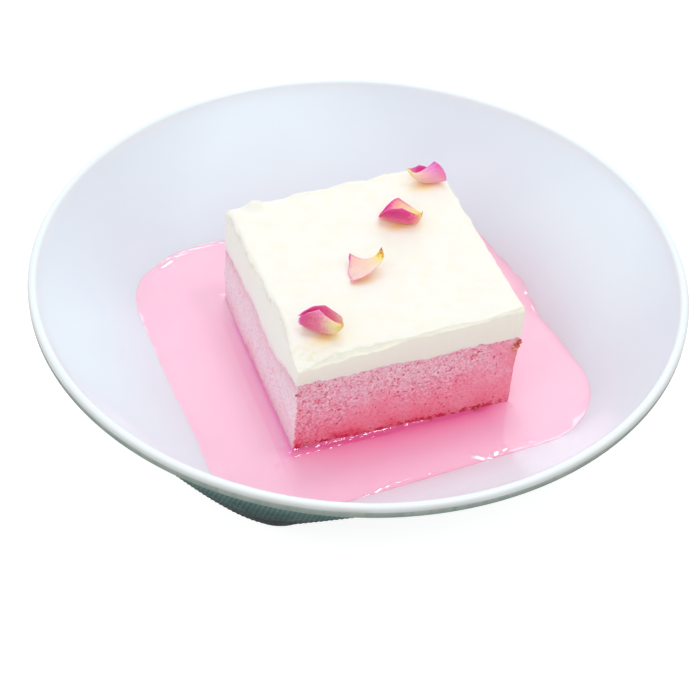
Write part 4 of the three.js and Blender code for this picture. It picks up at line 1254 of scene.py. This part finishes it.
# Where the petals' painted warm shadows, with their glow through the petals, tint the cream: x, y, spread
# in X and Y, strength
petalShadowSpots = [(36.0, 26.4, 4.2, 2.2, 0.75), (18.0, 9.4, 4.2, 2.2, 0.8), (-3.6, -11.8, 3.8, 2.0, 0.6),
              (-25.8, -32.8, 4.4, 2.4, 0.85)]
creamPiece = makeCream(creamMaterial())
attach(creamPiece, "root")
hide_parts("cream")
print("cream made")


# Crumbs: browned bits of crust caught on the sponge's edges
crumbs = {
    # x, y, z and radius
    "spots": [(36.8, -44.3, 39.6, 0.8), (37.6, -44.0, 40.5, 0.75), (38.1, -43.3, 39.7, 0.8),
              (37.5, -44.2, 38.8, 0.55), (36.0, -44.5, 40.2, 0.5), (38.2, -43.5, 40.8, 0.45),
              (35.0, -44.5, 38.9, 0.35), (24.0, -45.2, 16.0, 0.6), (25.3, -45.3, 16.2, 0.4),
              (-38.5, -41.0, 40.4, 0.5), (-37.1, -41.2, 33.5, 0.35), (8.0, -44.1, 15.6, 0.35)],
    "around": 14, "rings": 9, "lumps": 0.45, "lumpSize": 0.8, "flattened": [1, 0.8, 0.7],
    "colours": [(0.3, (176, 66, 52)), (0.55, (205, 104, 70)), (0.75, (226, 150, 84))],
}


def makeCrumbs(material):
    # Each crumb is a flattened ball whose radius varies by noise: r (1 + lumps noise)
    c = crumbs
    around, rings = c["around"], c["rings"]
    turn = np.arange(around)[None, :] / around * 2 * np.pi
    tilt = (np.arange(rings)[:, None] + 0.5) / rings * np.pi - np.pi / 2
    ball = np.stack([np.cos(tilt) * np.cos(turn), np.cos(tilt) * np.sin(turn),
                     np.sin(tilt) + 0 * turn], -1)
    ball = np.concatenate([ball.reshape(-1, 3), [[0, 0, -1], [0, 0, 1]]])
    quads, triangles = closedFaces(rings, around)
    points = []
    for number, (*place, radius) in enumerate(c["spots"]):
        lumps = 1 + c["lumps"] * roughness(ball + number * 7.0, c["lumpSize"], seed=71, octaves=2)
        points.append(ball * lumps[:, None] * radius * c["flattened"] + place)
    firsts = np.arange(len(points))[:, None, None] * len(ball)
    faces = [(quads + firsts).reshape(-1, 4), (triangles + firsts).reshape(-1, 3)]
    return meshPiece("crust_crumbs", np.concatenate(points), faces, [material])


def crustMaterial():
    # Rough brown crust, mottled from red-brown to amber
    material, tree, shader = newMaterial("browned_crust")
    colour = rampNode(tree, noiseNode(tree, 0.8), crumbs["colours"])
    setSockets(tree, shader, Base_Color=colour, Roughness=0.7, Subsurface_Weight=0.1,
               Subsurface_Scale=0.001)
    bumpNode(tree, shader, noiseNode(tree, 0.4, detail=2), depth=0.1, strength=0.5)
    return material


crumbPiece = makeCrumbs(crustMaterial())
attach(crumbPiece, "root")
print("crumbs made")


# Floor, sky and lights: a white table in soft light that comes mostly from behind and above
studio = {
    "floorHalf": 3.0, "floorPaint": (190, 190, 190), "floorGlow": 0.84,
    "sky": (0.95, 0.975, 1.0), "skyStrength": 0.75, "lookAt": (0, 0, 0.03),
    # Name, azimuth and elevation in degrees, distance and size in metres, power in watts, colour
    "lights": [
        ("key", 166, 68, 0.9, 0.22, 1.2, (1.0, 0.98, 0.95)),
        ("overhead", 68, 72, 0.9, 0.15, 1.0, (1.0, 0.985, 0.96)),
        ("backLow", 158, 27, 1.1, 0.3, 0.7, (0.95, 0.98, 1.0)),
        ("backWide", 140, 35, 1.1, 0.6, 0.5, (0.92, 0.97, 1.0)),
        ("fill", -75, 42, 1.1, 0.7, 1.15, (0.98, 0.98, 1.0)),
        ("frontFill", 0, 38, 1.1, 0.8, 0.75, (1.0, 0.98, 0.96)),
    ],
}


def makeFloor():
    # A flat square that glows a little, so that it stays pale
    half = studio["floorHalf"]
    corners = [(-half, -half, 0), (half, -half, 0), (half, half, 0), (-half, half, 0)]
    mesh = bpy.data.meshes.new("table_top")
    mesh.from_pydata(corners, [], [(0, 1, 2, 3)])
    material, tree, shader = newMaterial("white_table")
    setSockets(tree, shader, Base_Color=paint(*studio["floorPaint"]), Roughness=0.6,
               Specular_IOR_Level=0.2, Emission_Strength=studio["floorGlow"], Emission_Color=(1, 1, 1, 1))
    mesh.materials.append(material)
    floor = bpy.data.objects.new("table_top", mesh)
    bpy.context.scene.collection.objects.link(floor)


def makeLight():
    # Each lamp stands at middle + (sin a cos e, -cos a cos e, sin e) * distance and faces the middle
    world = bpy.data.worlds.new("sky")
    world.use_nodes = True
    sky = world.node_tree.nodes["Background"]
    sky.inputs["Color"].default_value = (*studio["sky"], 1)
    sky.inputs["Strength"].default_value = studio["skyStrength"]
    bpy.context.scene.world = world
    for name, azimuth, elevation, distance, size, power, colour in studio["lights"]:
        away, side, up = facing(azimuth, elevation)
        lamp = bpy.data.lights.new(name, "AREA")
        lamp.size = size
        lamp.energy = power
        lamp.color = colour
        light = bpy.data.objects.new(name, lamp)
        light.matrix_world = Matrix(np.column_stack([side, up, away]).tolist()).to_4x4()
        light.location = studio["lookAt"] + away * distance
        bpy.context.scene.collection.objects.link(light)
    bpy.context.scene.view_settings.view_transform = "Standard"
    bpy.context.scene.view_settings.look = "None"


makeFloor()
makeLight()
print("studio lit")
